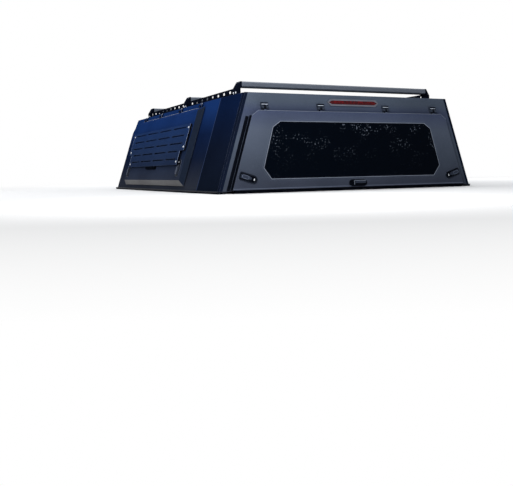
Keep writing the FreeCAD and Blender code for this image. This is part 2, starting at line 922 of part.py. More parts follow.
strut_out = s.side_axis_out - s.side_strut_out
side_foot_up = side_axis[0] - s.side_foot_down
side_pin_up = side_axis[0] - s.side_pin_down
side_strut_length = s.side_foot_down - s.side_pin_down
SIDE_STRUTS = [
    # name, station of its middle, which way its jamb lies
    ("rear", s.door_rear + s.door_lap + s.strut_in, -1),
    ("front", door_front - s.door_lap - s.strut_in, 1),
]


def side_struts():
    tubes = []
    rods = []
    for name, station, hand in SIDE_STRUTS:
        foot = placement(station, side_foot_up, strut_out, 90, 0, 90)
        frame = f"{SIDE} * {foot}"
        tubes.append(strut_tube(f"side_tube_{name}", frame, s.side_tube_length))
        rods.append(strut_rod(f"side_rod_{name}", frame, s.side_rod_tail, side_strut_length))
    return (grouped("side_strut_tubes_right", tubes), grouped("side_strut_rods_right", rods))


def side_strut_studs():
    """Studs on the opening's jambs that carry the struts' feet."""
    body = part_body("side_strut_studs_right", SIDE)
    for name, station, hand in SIDE_STRUTS:
        tip = station - hand * (s.eye_half + s.eye_play)
        foot_stud(body, name, station + hand * s.strut_in, tip, side_foot_up, strut_out)
    return body


def side_door_studs():
    """Posts on the door's back with studs that face the rods' ends."""
    body = part_body("side_door_studs_right", SIDE)
    posts = sketch_on(body, "posts", "XY_Plane", level=door_back)
    for name, station, hand in SIDE_STRUTS:
        near = station - hand * (s.eye_half + s.stud_head_t)
        far = near - hand * s.strut_post
        left, right = (far, near) if hand == 1 else (near, far)
        rectangle(posts, left, side_pin_up - s.strut_post_half, right,
                  side_pin_up + s.strut_post_half)
    pad(body, posts, door_back - strut_out + s.strut_post_half, reverse=True)
    for name, station, hand in SIDE_STRUTS:
        near = station - hand * (s.eye_half + s.eye_play)
        length = s.stud_head_t - s.eye_play
        start = near - length if hand == 1 else near
        stud = sketch_on(body, f"stud_{name}", "YZ_Plane", level=start, across=side_pin_up,
                         up=strut_out)
        facets(stud, s.stud_r)
        pad(body, stud, length)
    return body


# Rear door, in the rear frame
rear_back = s.door_gap
rear_front = s.door_gap + s.rear_door_t
rear_axis = (s.rear_door_top + s.rear_axis_up, s.rear_axis_out)


def window_outline(grow):
    """The rear window: eight corners, grown by a margin."""
    return both_hands([
        (door_side(s.window_low) - s.window_low_margin + grow / 2, s.window_low - grow),
        (door_side(s.window_foot) - s.window_foot_margin + grow, s.window_foot - grow / 3),
        (door_side(s.window_shoulder) - s.window_shoulder_margin + grow,
         s.window_shoulder + grow / 2),
        (door_side(s.window_top) - s.window_top_margin + grow / 2, s.window_top + grow)])


def rear_door_panel():
    body = part_body("rear_door_panel", REAR)
    sections = []
    for name, level, bevel in (("back", rear_back, size(0)), ("front", rear_front,
                                                              s.rear_door_bevel)):
        sketch = sketch_on(body, name, "XY_Plane", level=level)
        polygon(sketch, both_hands(rear_door_outline(bevel, s.rear_door_low)))
        sections.append(sketch)
    loft(body, sections)
    window = sketch_on(body, "window", "XY_Plane")
    polygon(window, window_outline(size(0)))
    pocket(body, window)
    rebate = sketch_on(body, "rebate", "XY_Plane", level=rear_front)
    polygon(rebate, window_outline(s.glass_lap))
    pocket(body, rebate, s.glass_t + s.glass_sink)
    door_arms(body, rear_axis, REAR_HINGES, s.rear_door_top, rear_back)
    return body


def rear_door_glass():
    body = part_body("rear_door_glass", REAR)
    pane = sketch_on(body, "pane", "XY_Plane", level=rear_front - s.glass_sink)
    polygon(pane, window_outline(s.glass_lap - s.glass_play))
    pad(body, pane, s.glass_t, reverse=True)
    return body


def rear_door_seal():
    """A rubber lip on the frame round its opening, open at the bottom as the frame is."""
    body = part_body("rear_door_seal", REAR)
    ring = sketch_on(body, "ring", "XY_Plane")
    outer = rear_door_outline(s.rear_door_lap - s.rear_seal_w, s.rear_door_low)
    inner = rear_door_outline(s.rear_door_lap, s.rear_door_low)
    polygon(ring, both_hands(outer) + list(reversed(both_hands(inner))))
    pad(body, ring, s.door_seal_t)
    return body


def rear_door_sweep():
    """A rubber strip under the door, that would meet the vehicle's own tailgate."""
    body = part_body("rear_door_sweep", REAR)
    strip = sketch_on(body, "strip", "XY_Plane", level=rear_back)
    half = rear_half - s.pillar_w - s.sweep_in
    rectangle(strip, -half, -s.sweep_drop, half, s.rear_door_low)
    pad(body, strip, s.sweep_t)
    return body


def rear_door_handle():
    body = part_body("rear_door_handle", REAR)
    plate = sketch_on(body, "plate", "XY_Plane", level=rear_front)
    rectangle(plate, -s.handle_half, s.handle_low, s.handle_half, s.handle_high)
    pad(body, plate, s.handle_t)
    grip = sketch_on(body, "grip", "XY_Plane", level=rear_front + s.handle_t)
    rectangle(grip, -s.handle_half + s.handle_rim, s.handle_low + s.handle_rim,
              s.handle_half - s.handle_rim, s.handle_high - s.handle_rim)
    pad(body, grip, s.handle_grip - s.handle_t / 2)
    return body


def rear_door_locks():
    across = s.rear_lock_in - door_side(s.rear_lock_up)
    seat = placement(across, s.rear_lock_up, rear_front, -s.rear_lock_tilt, 0, 0)
    lock = lock_body("rear_lock_left", f"{REAR} * {seat}")
    return grouped("rear_door_locks", [lock, mirror_image(lock, "rear_lock_right")])


# Rear struts. The foot hangs inboard of the side wall and the pin stands on the door.
rear_foot = (rear_axis[0] - s.rear_foot_down, rear_axis[1] - s.rear_foot_in)
rear_pin = (rear_axis[0] - s.rear_pin_down, rear_axis[1] - s.rear_pin_in)
strut_rise = rear_pin[0] - rear_foot[0]
strut_run = rear_pin[1] - rear_foot[1]
rear_strut_length = root(strut_rise * strut_rise + strut_run * strut_run)
rear_strut_turn = 90 - arctan(strut_rise / strut_run)
rear_strut_half = top_half - s.rear_strut_margin


def rear_struts():
    tubes = []
    rods = []
    for name, hand in (("left", -1), ("right", 1)):
        foot = placement(hand * rear_strut_half, rear_foot[0], rear_foot[1], 0, 0, 0)
        swing = placement(0, 0, 0, 0, 0, rear_strut_turn)
        lay = placement(0, 0, 0, 90, 0, 90)
        frame = f"{REAR} * {foot} * {swing} * {lay}"
        tubes.append(strut_tube(f"rear_tube_{name}", frame, s.rear_tube_length))
        rods.append(strut_rod(f"rear_rod_{name}", frame, s.rear_rod_tail, rear_strut_length))
    return (grouped("rear_strut_tubes", tubes), grouped("rear_strut_rods", rods))


def rear_strut_brackets():
    """Arms from the side walls' inner faces, each with a stud for a strut's foot."""
    body = part_body("rear_bracket_right", UPRIGHT)
    station = (rear_slope * rear_foot[0] - rear_foot[1]) / rear_stretch
    height = (rear_foot[0] + rear_slope * rear_foot[1]) / rear_stretch
    low = height - s.foot_bracket_half
    high = height + s.foot_bracket_half
    near = rear_strut_half + s.eye_half + s.foot_bracket_gap
    arm = across_sketch(body, "arm", station + s.foot_bracket_half)
    polygon(arm, [(near, low), (half_width(low) - s.wall_t, low),
                  (half_width(high) - s.wall_t, high), (near, high)])
    pad(body, arm, s.foot_bracket_half * 2)
    tip = rear_strut_half - s.eye_half - s.eye_play
    foot_stud(body, "stud", near, tip, station, height, head_base=False)
    return grouped("rear_strut_brackets", [body, mirror_image(body, "rear_bracket_left")])


def rear_door_studs():
    body = part_body("rear_door_studs", REAR)
    posts = sketch_on(body, "posts", "XY_Plane", level=rear_back)
    near = rear_strut_half + s.eye_half + s.stud_head_t
    for left, right in ((near, near + s.strut_post), (-near - s.strut_post, -near)):
        rectangle(posts, left, rear_pin[0] - s.strut_post_half, right,
                  rear_pin[0] + s.strut_post_half)
    pad(body, posts, rear_back - rear_pin[1] + s.strut_post_half, reverse=True)
    tip = rear_strut_half + s.eye_half + s.eye_play
    for name, start in (("right", tip), ("left", -near)):
        stud = sketch_on(body, f"stud_{name}", "YZ_Plane", level=start, across=rear_pin[0],
                         up=rear_pin[1])
        facets(stud, s.stud_r)
        pad(body, stud, near - tip)
    return body


# Stop lamp on the header
def lamp_outline(inset):
    half = s.lamp_half - inset
    high = s.lamp_high - inset
    return [(-half, s.lamp_up), (-half + s.lamp_point, s.lamp_up - high),
            (half - s.lamp_point, s.lamp_up - high), (half, s.lamp_up),
            (half - s.lamp_point, s.lamp_up + high), (-half + s.lamp_point, s.lamp_up + high)]


def lamp_bezel():
    body = part_body("lamp_bezel", REAR)
    ring = sketch_on(body, "ring", "XY_Plane")
    polygon(ring, lamp_outline(size(0)))
    polygon(ring, lamp_outline(s.lamp_rim))
    pad(body, ring, s.lamp_t)
    return body


def lamp_lens():
    body = part_body("lamp_lens", REAR)
    lens = sketch_on(body, "lens", "XY_Plane")
    polygon(lens, lamp_outline(s.lamp_rim + s.lens_play))
    pad(body, lens, s.lamp_t - s.lens_sink)
    return body


# Roof rack
rail_out = top_half - s.rail_in
rail_front = s.length - s.rail_front_margin
bar_half = rail_out - s.bar_in


def rack_rail():
    body = part_body("rack_rail_right", UPRIGHT)
    section = across_sketch(body, "section", rail_front)
    foot = rail_out - s.rail_foot
    inner = rail_out - s.rail_t
    polygon(section, [(foot, s.height), (rail_out, s.height),
                      (rail_out, s.height + s.rail_height), (inner, s.height + s.rail_height),
                      (inner, s.height + s.rail_t), (foot, s.height + s.rail_t)])
    pad(body, section, rail_front - s.rail_rear)
    pitch = (rail_front - s.rail_rear - 2 * s.hole_margin) / (s.hole_count - 1)
    first = s.rail_rear + s.hole_margin
    level = s.height + s.hole_up
    holes = sketch_on(body, "holes", "YZ_Plane", level=rail_out)
    facet_slot(holes, first, level, s.hole_length, s.hole_width)
    cut = pocket(body, holes, s.rail_t * 2)
    repeated(body, cut, (holes, ["H_Axis"]), pitch * (s.hole_count - 1), s.hole_count)
    # The hole next to each end takes bolts, so its ends are cut truly round
    bolts = sketch_on(body, "bolts", "YZ_Plane", level=rail_out)
    round_slot(bolts, first + pitch, level, s.hole_length, s.hole_width)
    cut = pocket(body, bolts, s.rail_t * 2)
    repeated(body, cut, (bolts, ["H_Axis"]), pitch * (s.hole_count - 3), 2)
    return body


CROSSBARS = [
    # name, station of its middle
    ("rear", s.rail_rear + s.bar_margin),
    ("middle", (s.rail_rear + rail_front) / 2),
    ("front", rail_front - s.bar_margin),
]
bar_low = s.height + s.rail_height


def crossbar(name, station):
    """A long bar with cut corners and a groove in its top for fixings."""
    body = part_body(f"crossbar_{name}", UPRIGHT)
    section = sketch_on(body, "section", "YZ_Plane", across=station, up=bar_low)
    half = s.bar_depth / 2
    high = s.bar_height
    corner = s.bar_corner
    slot = s.bar_groove / 2
    right = [(half - corner, 0), (half, corner), (half, high - corner), (half - corner, high),
             (slot, high), (slot, high - s.bar_groove_deep)]
    polygon(section, both_hands(right))
    pad(body, section, bar_half * 2, both_ways=True)
    return body


def crossbar_feet():
    """Cheeks outside the rails that carry the bars' ends, with slanted outer edges."""
    body = part_body("crossbar_feet_one_side", UPRIGHT)
    for name, station in CROSSBARS:
        cheek = across_sketch(body, f"cheek_{name}", station + s.bar_depth / 2)
        high = bar_low + s.bar_height
        foot_out = rail_out + s.foot_reach
        polygon(cheek, [(bar_half, bar_low), (rail_out, bar_low), (rail_out, s.height),
                        (foot_out, s.height), (foot_out, high - s.foot_slope),
                        (rail_out - s.foot_top_in, high), (bar_half, high)])
        pad(body, cheek, s.bar_depth)
    return grouped("crossbar_feet", [body, mirror_image(body, "crossbar_feet_other_side")])


right_hand = [side_wall(), side_door_seal(),
              fixed_hinges("side_hinges_right", SIDE, side_axis, SIDE_HINGES,
                           (s.side_cover_low, s.side_cover_high, s.side_cover_t)),
              side_strut_studs(), side_door_panel(), slotted_plate(), side_door_catch(),
              side_door_locks(), side_door_studs(), rack_rail()]
right_hand.extend(side_struts())
left_hand = [mirror_image(piece, piece.Label.replace("_right", "_left")) for piece in right_hand]
middle_pieces = [roof_panel(), front_wall(), front_glass(), rear_frame(), base_rim(), rim_seal(),
                 fixed_hinges("rear_hinges", REAR, rear_axis, REAR_HINGES,
                              (s.rear_cover_low, s.rear_cover_high, s.rear_cover_t)),
                 rear_door_panel(), rear_door_glass(), rear_door_seal(), rear_door_sweep(),
                 rear_door_handle(), rear_door_locks(), rear_strut_brackets(), rear_door_studs(),
                 lamp_bezel(), lamp_lens(), crossbar_feet()]
middle_pieces.extend(rear_struts())
middle_pieces.extend(crossbar(name, station) for name, station in CROSSBARS)
pieces = right_hand + left_hand + middle_pieces
doc.recompute()

# Nothing is written unless every object is sound
for item in doc.Objects:
    if {"Invalid", "Error"} & set(item.State):
        raise RuntimeError(f"{item.Name} failed: {item.State}")
for piece in pieces:
    if piece.Shape.isNull() or not piece.Shape.isValid() or not piece.Shape.Solids:
        raise RuntimeError(f"{piece.Label} has no sound shape")
os.makedirs("parts", exist_ok=True)
for piece in pieces:
    piece.Shape.exportStep(f"parts/{piece.Label}.step")
print(len(pieces), "pieces,", sum(len(piece.Shape.Solids) for piece in pieces), "solids")
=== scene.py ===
import math

import bmesh
import bpy
from mathutils import Euler, Matrix, Vector


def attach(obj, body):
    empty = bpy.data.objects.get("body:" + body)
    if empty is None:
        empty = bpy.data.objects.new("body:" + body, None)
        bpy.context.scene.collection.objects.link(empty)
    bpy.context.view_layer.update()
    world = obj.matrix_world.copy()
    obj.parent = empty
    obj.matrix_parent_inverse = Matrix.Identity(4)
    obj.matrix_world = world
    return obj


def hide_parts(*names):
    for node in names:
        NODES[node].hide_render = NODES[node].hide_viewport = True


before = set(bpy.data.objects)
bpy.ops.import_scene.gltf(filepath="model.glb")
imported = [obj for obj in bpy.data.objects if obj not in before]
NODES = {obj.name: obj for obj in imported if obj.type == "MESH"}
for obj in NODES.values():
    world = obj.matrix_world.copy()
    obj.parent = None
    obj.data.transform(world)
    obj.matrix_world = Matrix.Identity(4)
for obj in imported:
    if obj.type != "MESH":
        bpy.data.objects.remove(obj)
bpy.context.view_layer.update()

# Sizes and places in millimetres, as the part's source has them
BASE_HALF = 852
TUCK = 13
MIDDLE = 1079.25
DROP = 14
HEIGHT = 530
LENGTH = 2189
DOOR_REAR, DOOR_FRONT = 553, 1920
DOOR_MIDDLE = (DOOR_REAR + DOOR_FRONT) / 2
DOOR_FACE = 34.5
SIDE_HINGES = [DOOR_MIDDLE + offset for offset in (-610, -221, 221, 610)]
REAR_FACE = 29.5
REAR_HINGES = [-567, -219, 219, 567]

# The side walls lean in by SIDE_IN over the height, and the rear by REAR_IN
CREASE_STATION = 325
SIDE_IN, REAR_IN = 163, 14
CREASE_Y = (CREASE_STATION - MIDDLE) / 1000
SLOPE = SIDE_IN / HEIGHT
LEAN = math.atan(SLOPE)
REAR_LEAN = math.atan(REAR_IN / HEIGHT)

# Frames to build in, in millimetres. UPRIGHT has x, station and height. SIDE lies on the right
# wall with station, up and out. REAR lies on the rear face with x, up and out.
MM = Matrix.Scale(0.001, 4)
UPRIGHT = MM @ Matrix.Translation((0, -MIDDLE, DROP))
SIDE = UPRIGHT @ Matrix.Translation((BASE_HALF, 0, 0)) @ Euler(
    (math.pi / 2 - LEAN, 0, math.pi / 2), "XYZ").to_matrix().to_4x4()
REAR = UPRIGHT @ Euler((math.pi / 2 - REAR_LEAN, 0, 0), "XYZ").to_matrix().to_4x4()
MIRROR = Matrix.Scale(-1, 4, (1, 0, 0))


# Materials
class Nodes:
    """A material's node tree, with a short way to add and link nodes."""

    def __init__(self, name):
        self.material = bpy.data.materials.new(name)
        self.material.use_nodes = True
        self.tree = self.material.node_tree
        self.shader = self.tree.nodes["Principled BSDF"]

    def add(self, kind, **values):
        node = self.tree.nodes.new(f"ShaderNode{kind}")
        for key, value in values.items():
            socket = node.inputs.get(key.replace("_", " "))
            if socket is not None:
                self.put(value, socket)
            else:
                setattr(node, key, value)
        return node

    def put(self, value, socket):
        if isinstance(value, bpy.types.NodeSocket):
            self.tree.links.new(value, socket)
        else:
            socket.default_value = value

    def set(self, **values):
        for key, value in values.items():
            self.put(value, self.shader.inputs[key.replace("_", " ")])

    def place(self):
        return self.add("TexCoord").outputs["Object"]

    def noise(self, scale, detail=3.0, vector=None):
        node = self.add("TexNoise", Scale=scale, Detail=detail)
        self.put(vector or self.place(), node.inputs["Vector"])
        return node.outputs["Fac"]

    def spread(self, value, low, high, to_low=0.0, to_high=1.0):
        node = self.add("MapRange")
        for socket, number in zip(node.inputs[:5], (value, low, high, to_low, to_high)):
            self.put(number, socket)
        return node.outputs["Result"]

    def mix(self, factor, first, second, kind="MIX"):
        node = self.add("Mix", data_type="RGBA", blend_type=kind)
        self.put(factor, node.inputs[0])
        self.put(first, node.inputs[6])
        self.put(second, node.inputs[7])
        return node.outputs[2]

    def maths(self, operation, first, second=0.0):
        node = self.add("Math", operation=operation)
        self.put(first, node.inputs[0])
        self.put(second, node.inputs[1])
        return node.outputs[0]

    def bump(self, height, strength, distance, under=None):
        node = self.add("Bump", Strength=strength, Distance=distance)
        self.put(height, node.inputs["Height"])
        if under is not None:
            self.put(under, node.inputs["Normal"])
        return node.outputs["Normal"]


def linear(red, green, blue):
    """A colour written 0 to 255 as it looks on a screen, for a shader."""
    def one(part):
        part /= 255
        return part / 12.92 if part <= 0.04045 else ((part + 0.055) / 1.055) ** 2.4
    return (one(red), one(green), one(blue), 1.0)


# Painted highlight along sharp edges: its strength and its colour
EDGE_HIGHLIGHT_STRENGTH = 0.3
EDGE_HIGHLIGHT_COLOUR = (128, 138, 158)
COAT_GRAIN = 1300.0


def painted_edge_highlight(n, shade):
    """Paint a highlight along sharp edges, lightening the colour there in patches."""
    bevel = n.add("Bevel", samples=6, Radius=0.0022)
    plain_normal = n.add("NewGeometry").outputs["True Normal"]
    match = n.add("VectorMath", operation="DOT_PRODUCT")
    n.put(bevel.outputs["Normal"], match.inputs[0])
    n.put(plain_normal, match.inputs[1])
    patch = n.spread(n.noise(40.0, 3.0), 0.3, 0.7, 0.3, 1.0)
    edge = n.maths("MULTIPLY", n.spread(match.outputs["Value"], 0.985, 0.86), patch)
    return n.mix(n.maths("MULTIPLY", edge, EDGE_HIGHLIGHT_STRENGTH), shade, linear(*EDGE_HIGHLIGHT_COLOUR))


def powder(n, place, shade, rough):
    """Finish a tree as textured powder coat: orange-peel, mottling, specks and a painted highlight
    along its edges.
    """
    shade = painted_edge_highlight(n, shade)
    cloud = n.spread(n.noise(3.0, 4.0, place), 0.3, 0.7, 0.88, 1.12)
    speck = n.spread(n.noise(COAT_GRAIN * 0.5, 2.0, place), 0.25, 0.75, 0.74, 1.26)
    both = n.maths("MULTIPLY", cloud, speck)
    tone = n.add("CombineColor", Red=both, Green=both, Blue=both).outputs["Color"]
    normal = n.bump(n.noise(COAT_GRAIN, 2.0, place), 0.5, 0.00012)
    normal = n.bump(n.noise(7.0, 2.0, place), 0.1, 0.0016, normal)
    n.set(Base_Color=n.mix(1.0, shade, tone, "MULTIPLY"), Normal=normal,
          Roughness=n.spread(n.noise(26.0, 3.0, place), 0.2, 0.8, rough - 0.05, rough + 0.07))
    n.shader.inputs["Specular IOR Level"].default_value = 0.0
    return n.material


def bands(n, height, stops):
    """A colour that passes from stop to stop with height. Each stop is (height, colour)."""
    shade = linear(*stops[0][1])
    for (low, _), (high, colour) in zip(stops, stops[1:]):
        shade = n.mix(n.spread(height, low, high), shade, linear(*colour))
    return shade


ARM_BLACK = (14, 17, 23)
SIDEWAYS_FACE_SHADE = (8, 11, 18)
CORNER_SHADE = (15, 22, 38)
CREASE_HIGHLIGHT = (52, 66, 98)
QUARTER_SHADE_STOPS = ((0.03, (13, 19, 31)), (0.25, (13, 20, 36)), (0.5, (11, 24, 52)))
REAR_ROUGH, SIDE_ROUGH = 0.46, 0.5
CORNER_FOLD = 13


def coat(name, stops, arms=None, corner=False):
    """Powder coat whose colour changes with height, which on the rear is painted reflection. Hinge
    arms above a line are black, and where there are arms, faces that look sideways get painted
    shade.
    """
    n = Nodes(name)
    place = n.place()
    parts = n.add("SeparateXYZ", Vector=place)
    height = parts.outputs["Z"]
    shade = bands(n, height, stops)
    if arms is not None:
        shade = n.mix(n.spread(height, arms, arms + 0.0005), shade, linear(*ARM_BLACK))
        # Painted shade on the faces that look sideways, such as the door's side edges
        facing = n.add("SeparateXYZ", Vector=n.add("TexCoord").outputs["Normal"]).outputs["X"]
        side = n.spread(n.maths("ABSOLUTE", facing), 0.8, 0.9)
        shade = n.mix(side, shade, linear(*SIDEWAYS_FACE_SHADE))
    if corner:
        # The folded corners get painted shade, as dark as the quarters beside them
        out = n.maths("ADD", n.maths("ABSOLUTE", parts.outputs["X"]),
                      n.maths("MULTIPLY", height, SLOPE))
        edge = (BASE_HALF - TUCK - CORNER_FOLD) / 1000
        shade = n.mix(n.spread(out, edge - 0.001, edge + 0.001), shade, linear(*CORNER_SHADE))
    return powder(n, place, shade, REAR_ROUGH)


def side_coat(name, stops, arms=None, under=None, behind=None):
    """The side's coat, with a painted sky reflection: navy above, greyer low down. Given colours
    for the faces that look down or back, it paints those faces so; without them, painted shade
    behind the crease and a painted highlight along it."""
    n = Nodes(name)
    place = n.place()
    parts = n.add("SeparateXYZ", Vector=place)
    height, along = parts.outputs["Z"], parts.outputs["Y"]
    shade = bands(n, height, stops)
    if arms is not None:
        shade = n.mix(n.spread(height, arms, arms + 0.0005), shade, linear(*ARM_BLACK))
    if under is not None:
        # Faces that look down take under and faces that look back take behind; where these colours
        # are dark they are painted shade
        facing = n.add("SeparateXYZ", Vector=n.add("TexCoord").outputs["Normal"]).outputs
        shade = n.mix(n.spread(facing["Z"], -0.35, -0.55), shade, linear(*under))
        shade = n.mix(n.spread(facing["Y"], -0.45, -0.6), shade, linear(*behind))
    else:
        # Painted shade on the quarter behind the crease, and a painted highlight along the crease
        rear = n.spread(along, CREASE_Y + 0.001, CREASE_Y - 0.001)
        shade = n.mix(rear, shade, bands(n, height, QUARTER_SHADE_STOPS))
        near = n.maths("ABSOLUTE", n.maths("SUBTRACT", along, CREASE_Y))
        shade = n.mix(n.spread(near, 0.0034, 0.0014), shade, linear(*CREASE_HIGHLIGHT))
    return powder(n, place, shade, SIDE_ROUGH)


def plain(name, colour, rough, metal=0.0, grain=600.0, depth=0.0001, vary=0.12, gloss=0.04):
    """Moulded, machined or painted stuff: a fine grain and a little variation."""
    n = Nodes(name)
    place = n.place()
    tone = n.spread(n.noise(18.0, 4.0, place), 0.25, 0.75, 1 - vary, 1 + vary)
    shade = n.add("CombineColor", Red=tone, Green=tone, Blue=tone).outputs["Color"]
    n.set(Base_Color=n.mix(1.0, linear(*colour), shade, "MULTIPLY"),
          Roughness=n.spread(n.noise(60.0, 3.0, place), 0.2, 0.8, rough - 0.06, rough + 0.08),
          Normal=n.bump(n.noise(grain, 2.0, place), 0.4, depth))
    n.shader.inputs["Metallic"].default_value = metal
    n.shader.inputs["Specular IOR Level"].default_value = gloss
    return n.material


def brushed(name, colour, rough, along, metal):
    """Extruded or ground metal, with fine lines along one axis."""
    n = Nodes(name)
    place = n.place()
    stretch = [900.0, 900.0, 900.0]
    stretch[along] = 6.0
    lines = n.noise(1.0, 2.0, n.add("Mapping", Vector=place, Scale=stretch).outputs["Vector"])
    tone = n.spread(lines, 0.25, 0.75, 0.82, 1.18)
    shade = n.add("CombineColor", Red=tone, Green=tone, Blue=tone).outputs["Color"]
    n.set(Base_Color=n.mix(1.0, linear(*colour), shade, "MULTIPLY"),
          Roughness=n.spread(lines, 0.2, 0.8, rough - 0.06, rough + 0.1),
          Normal=n.bump(lines, 0.25, 0.00006))
    n.shader.inputs["Metallic"].default_value = metal
    return n.material


def glass_material():
    """Tinted glass, so dark that it reads as black, with dust and dried water marks."""
    n = Nodes("dark_glass_tint")
    place = n.place()
    dust = n.spread(n.noise(9.0, 5.0, place), 0.5, 0.72)
    marks = n.spread(n.noise(90.0, 4.0, place), 0.58, 0.7)
    both = n.maths("MULTIPLY", dust, marks)
    high = n.spread(n.add("SeparateXYZ", Vector=place).outputs["Z"], 0.17, 0.38, 0.03, 1.0)
    both = n.maths("MULTIPLY", both, high)
    n.set(Base_Color=n.mix(both, linear(2, 6, 14), linear(150, 160, 178)),
          Roughness=n.spread(both, 0.0, 1.0, 0.06, 0.5))
    n.shader.inputs["Specular IOR Level"].default_value = 0.01
    return n.material


def lamp_material():
    """Red lens with the cells of its optics showing through."""
    n = Nodes("lamp_red_lens")
    place = n.place()
    cells = n.add("TexVoronoi", Scale=130.0, Vector=place).outputs["Distance"]
    shade = n.mix(n.spread(cells, 0.05, 0.6), linear(144, 16, 24), linear(46, 5, 12))
    rise = n.spread(n.add("SeparateXYZ", Vector=place).outputs["Z"], 0.492, 0.507)
    shade = n.mix(rise, linear(58, 10, 16), shade)
    n.set(Base_Color=shade, Normal=n.bump(cells, 0.3, 0.0006))
    for key, value in (("Roughness", 0.3), ("Specular IOR Level", 0.12)):
        n.shader.inputs[key].default_value = value
    return n.material


# Rear frame: painted reflection, darker towards the bottom with a bluish band under the top; the
# corners get painted shade
REAR_COAT = coat("coat_rear_slate", ((0.05, (58, 64, 76)), (0.3, (72, 81, 95)),
                                     (0.45, (64, 72, 94)), (0.5, (74, 83, 97))), corner=True)
# Rear door: painted reflection, darker towards the bottom and bluish at the top; its sideways faces
# get painted shade
REAR_DOOR_COAT = coat("coat_rear_door", ((0.04, (56, 61, 74)), (0.16, (64, 71, 84)),
                                         (0.34, (78, 86, 101)), (0.44, (66, 74, 97))),
                      arms=0.4515)
# Painted sky reflection: greyer low down, navy towards the top
SIDE_COAT = side_coat("coat_side_navy", ((0.03, (42, 46, 56)), (0.2, (18, 27, 48)),
                                         (0.34, (14, 28, 58)), (0.5, (21, 46, 94))))
# Painted sky reflection, navy towards the top; painted shade on the faces that look back, and a
# pale colour on those that look down
PAN_COAT = side_coat("coat_side_pan", ((0.06, (44, 49, 62)), (0.24, (28, 40, 64)),
                                       (0.46, (22, 46, 94))), arms=0.5165, under=(150, 148, 144),
                     behind=(29, 37, 52))
ROOF_COAT = coat("coat_roof", ((0.5, (38, 44, 56)), (0.54, (40, 46, 58))))
# Painted sky reflection, navy towards the top; painted shade, near black, on the faces that look
# down or back
PLATE_COAT = side_coat("coat_plate_navy", ((0.12, (30, 38, 56)), (0.27, (32, 47, 77)),
                                           (0.4, (29, 49, 88))), under=(6, 8, 14),
                       behind=(6, 8, 14))
HARDWARE = plain("hardware_black", (20, 24, 31), 0.42)
# Side hinge covers: navy as painted sky reflection, where the rear covers are slate
COVER_NAVY = plain("hinge_cover_navy", (16, 34, 72), 0.42, gloss=0.0)
COVER = plain("hinge_cover_slate", (50, 57, 70), 0.42)
RAIL_BLACK = plain("rail_black", (12, 16, 28), 0.45, gloss=0.0)
BAR_METAL = brushed("bar_dark_anodised", (86, 94, 107), 0.4, 0, 0.2)
BRIGHT = brushed("bright_steel", (196, 198, 202), 0.2, 2, 1.0)
LOCK_PLASTIC = plain("lock_moulded", (46, 52, 65), 0.45, grain=900.0)
LOCK_RIM = plain("lock_rim", (23, 28, 38), 0.5, grain=900.0)
LOCK_DARK = plain("lock_dark", (9, 12, 19), 0.5, grain=900.0, gloss=0.0)
RUBBER = plain("rubber_matt", (10, 13, 20), 0.8, grain=300.0, depth=0.0002, gloss=0.0)
GLASS = glass_material()
LAMP = lamp_material()
BEZEL = plain("bezel_satin", (104, 106, 116), 0.36)
SCREW = plain("screw_bright", (206, 210, 216), 0.34, metal=0.2, vary=0.05)
# Light colour for screws and bolts, and for painted highlight lines along edges
TRIM_AND_HIGHLIGHT = plain("trim_and_painted_highlight", (120, 128, 142), 0.4, vary=0.06)
# Painted highlight lines along the slotted plates' ends
PLATE_EDGE_HIGHLIGHT = plain("plate_edge_painted_highlight", (118, 134, 168), 0.4, vary=0.06)
# Bright painted highlights on the hinges
BRIGHT_HIGHLIGHT = plain("bright_painted_highlight", (176, 184, 198), 0.4, vary=0.06)
# Soft light colour: painted highlight lines on the locks and the rear door's bottom edge, and the
# front window's line
SOFT_TRIM_AND_HIGHLIGHT = plain("soft_trim_and_painted_highlight", (98, 107, 126), 0.42, vary=0.06)

LOOKS = {
    "base_rim": HARDWARE,
    "crossbar_feet": RAIL_BLACK,
    "crossbar": BAR_METAL,
    "front_glass": GLASS,
    "front_wall": SIDE_COAT,
    "lamp_bezel": BEZEL,
    "lamp_lens": LAMP,
    "rack_rail": RAIL_BLACK,
    "rear_door_glass": GLASS,
    "rear_door_handle": LOCK_PLASTIC,
    "rear_door_locks": LOCK_PLASTIC,
    "rear_door_panel": REAR_DOOR_COAT,
    "rear_door_seal": RUBBER,
    "rear_door_studs": HARDWARE,
    "rear_door_sweep": RUBBER,
    "rear_frame": REAR_COAT,
    "rear_hinges": COVER,
    "rear_strut_brackets": HARDWARE,
    "rear_strut_rods": BRIGHT,
    "rear_strut_tubes": HARDWARE,
    "rim_seal": RUBBER,
    "roof_panel": ROOF_COAT,
    "side_door_catch": LOCK_DARK,
    "side_door_locks": LOCK_PLASTIC,
    "side_door_panel": PAN_COAT,
    "side_door_seal": RUBBER,
    "side_door_studs": HARDWARE,
    "side_hinges": COVER_NAVY,
    "side_strut_rods": BRIGHT,
    "side_strut_studs": HARDWARE,
    "side_strut_tubes": HARDWARE,
    "side_wall": SIDE_COAT,
    "slotted_plate": PLATE_COAT,
}


def look_of(name):
    best = max((key for key in LOOKS if name.startswith(key)), key=len)
    return LOOKS[best]


# Rounded edges, in metres, of the nodes whose names start so
ROUNDED = {"side_wall": 0.0015, "rear_frame": 0.002, "rear_door_panel": 0.0018,
           "side_door_panel": 0.0022, "slotted_plate": 0.0009, "crossbar_": 0.0012,
           "lamp_bezel": 0.0015, "side_door_catch": 0.001, "front_wall": 0.0015}

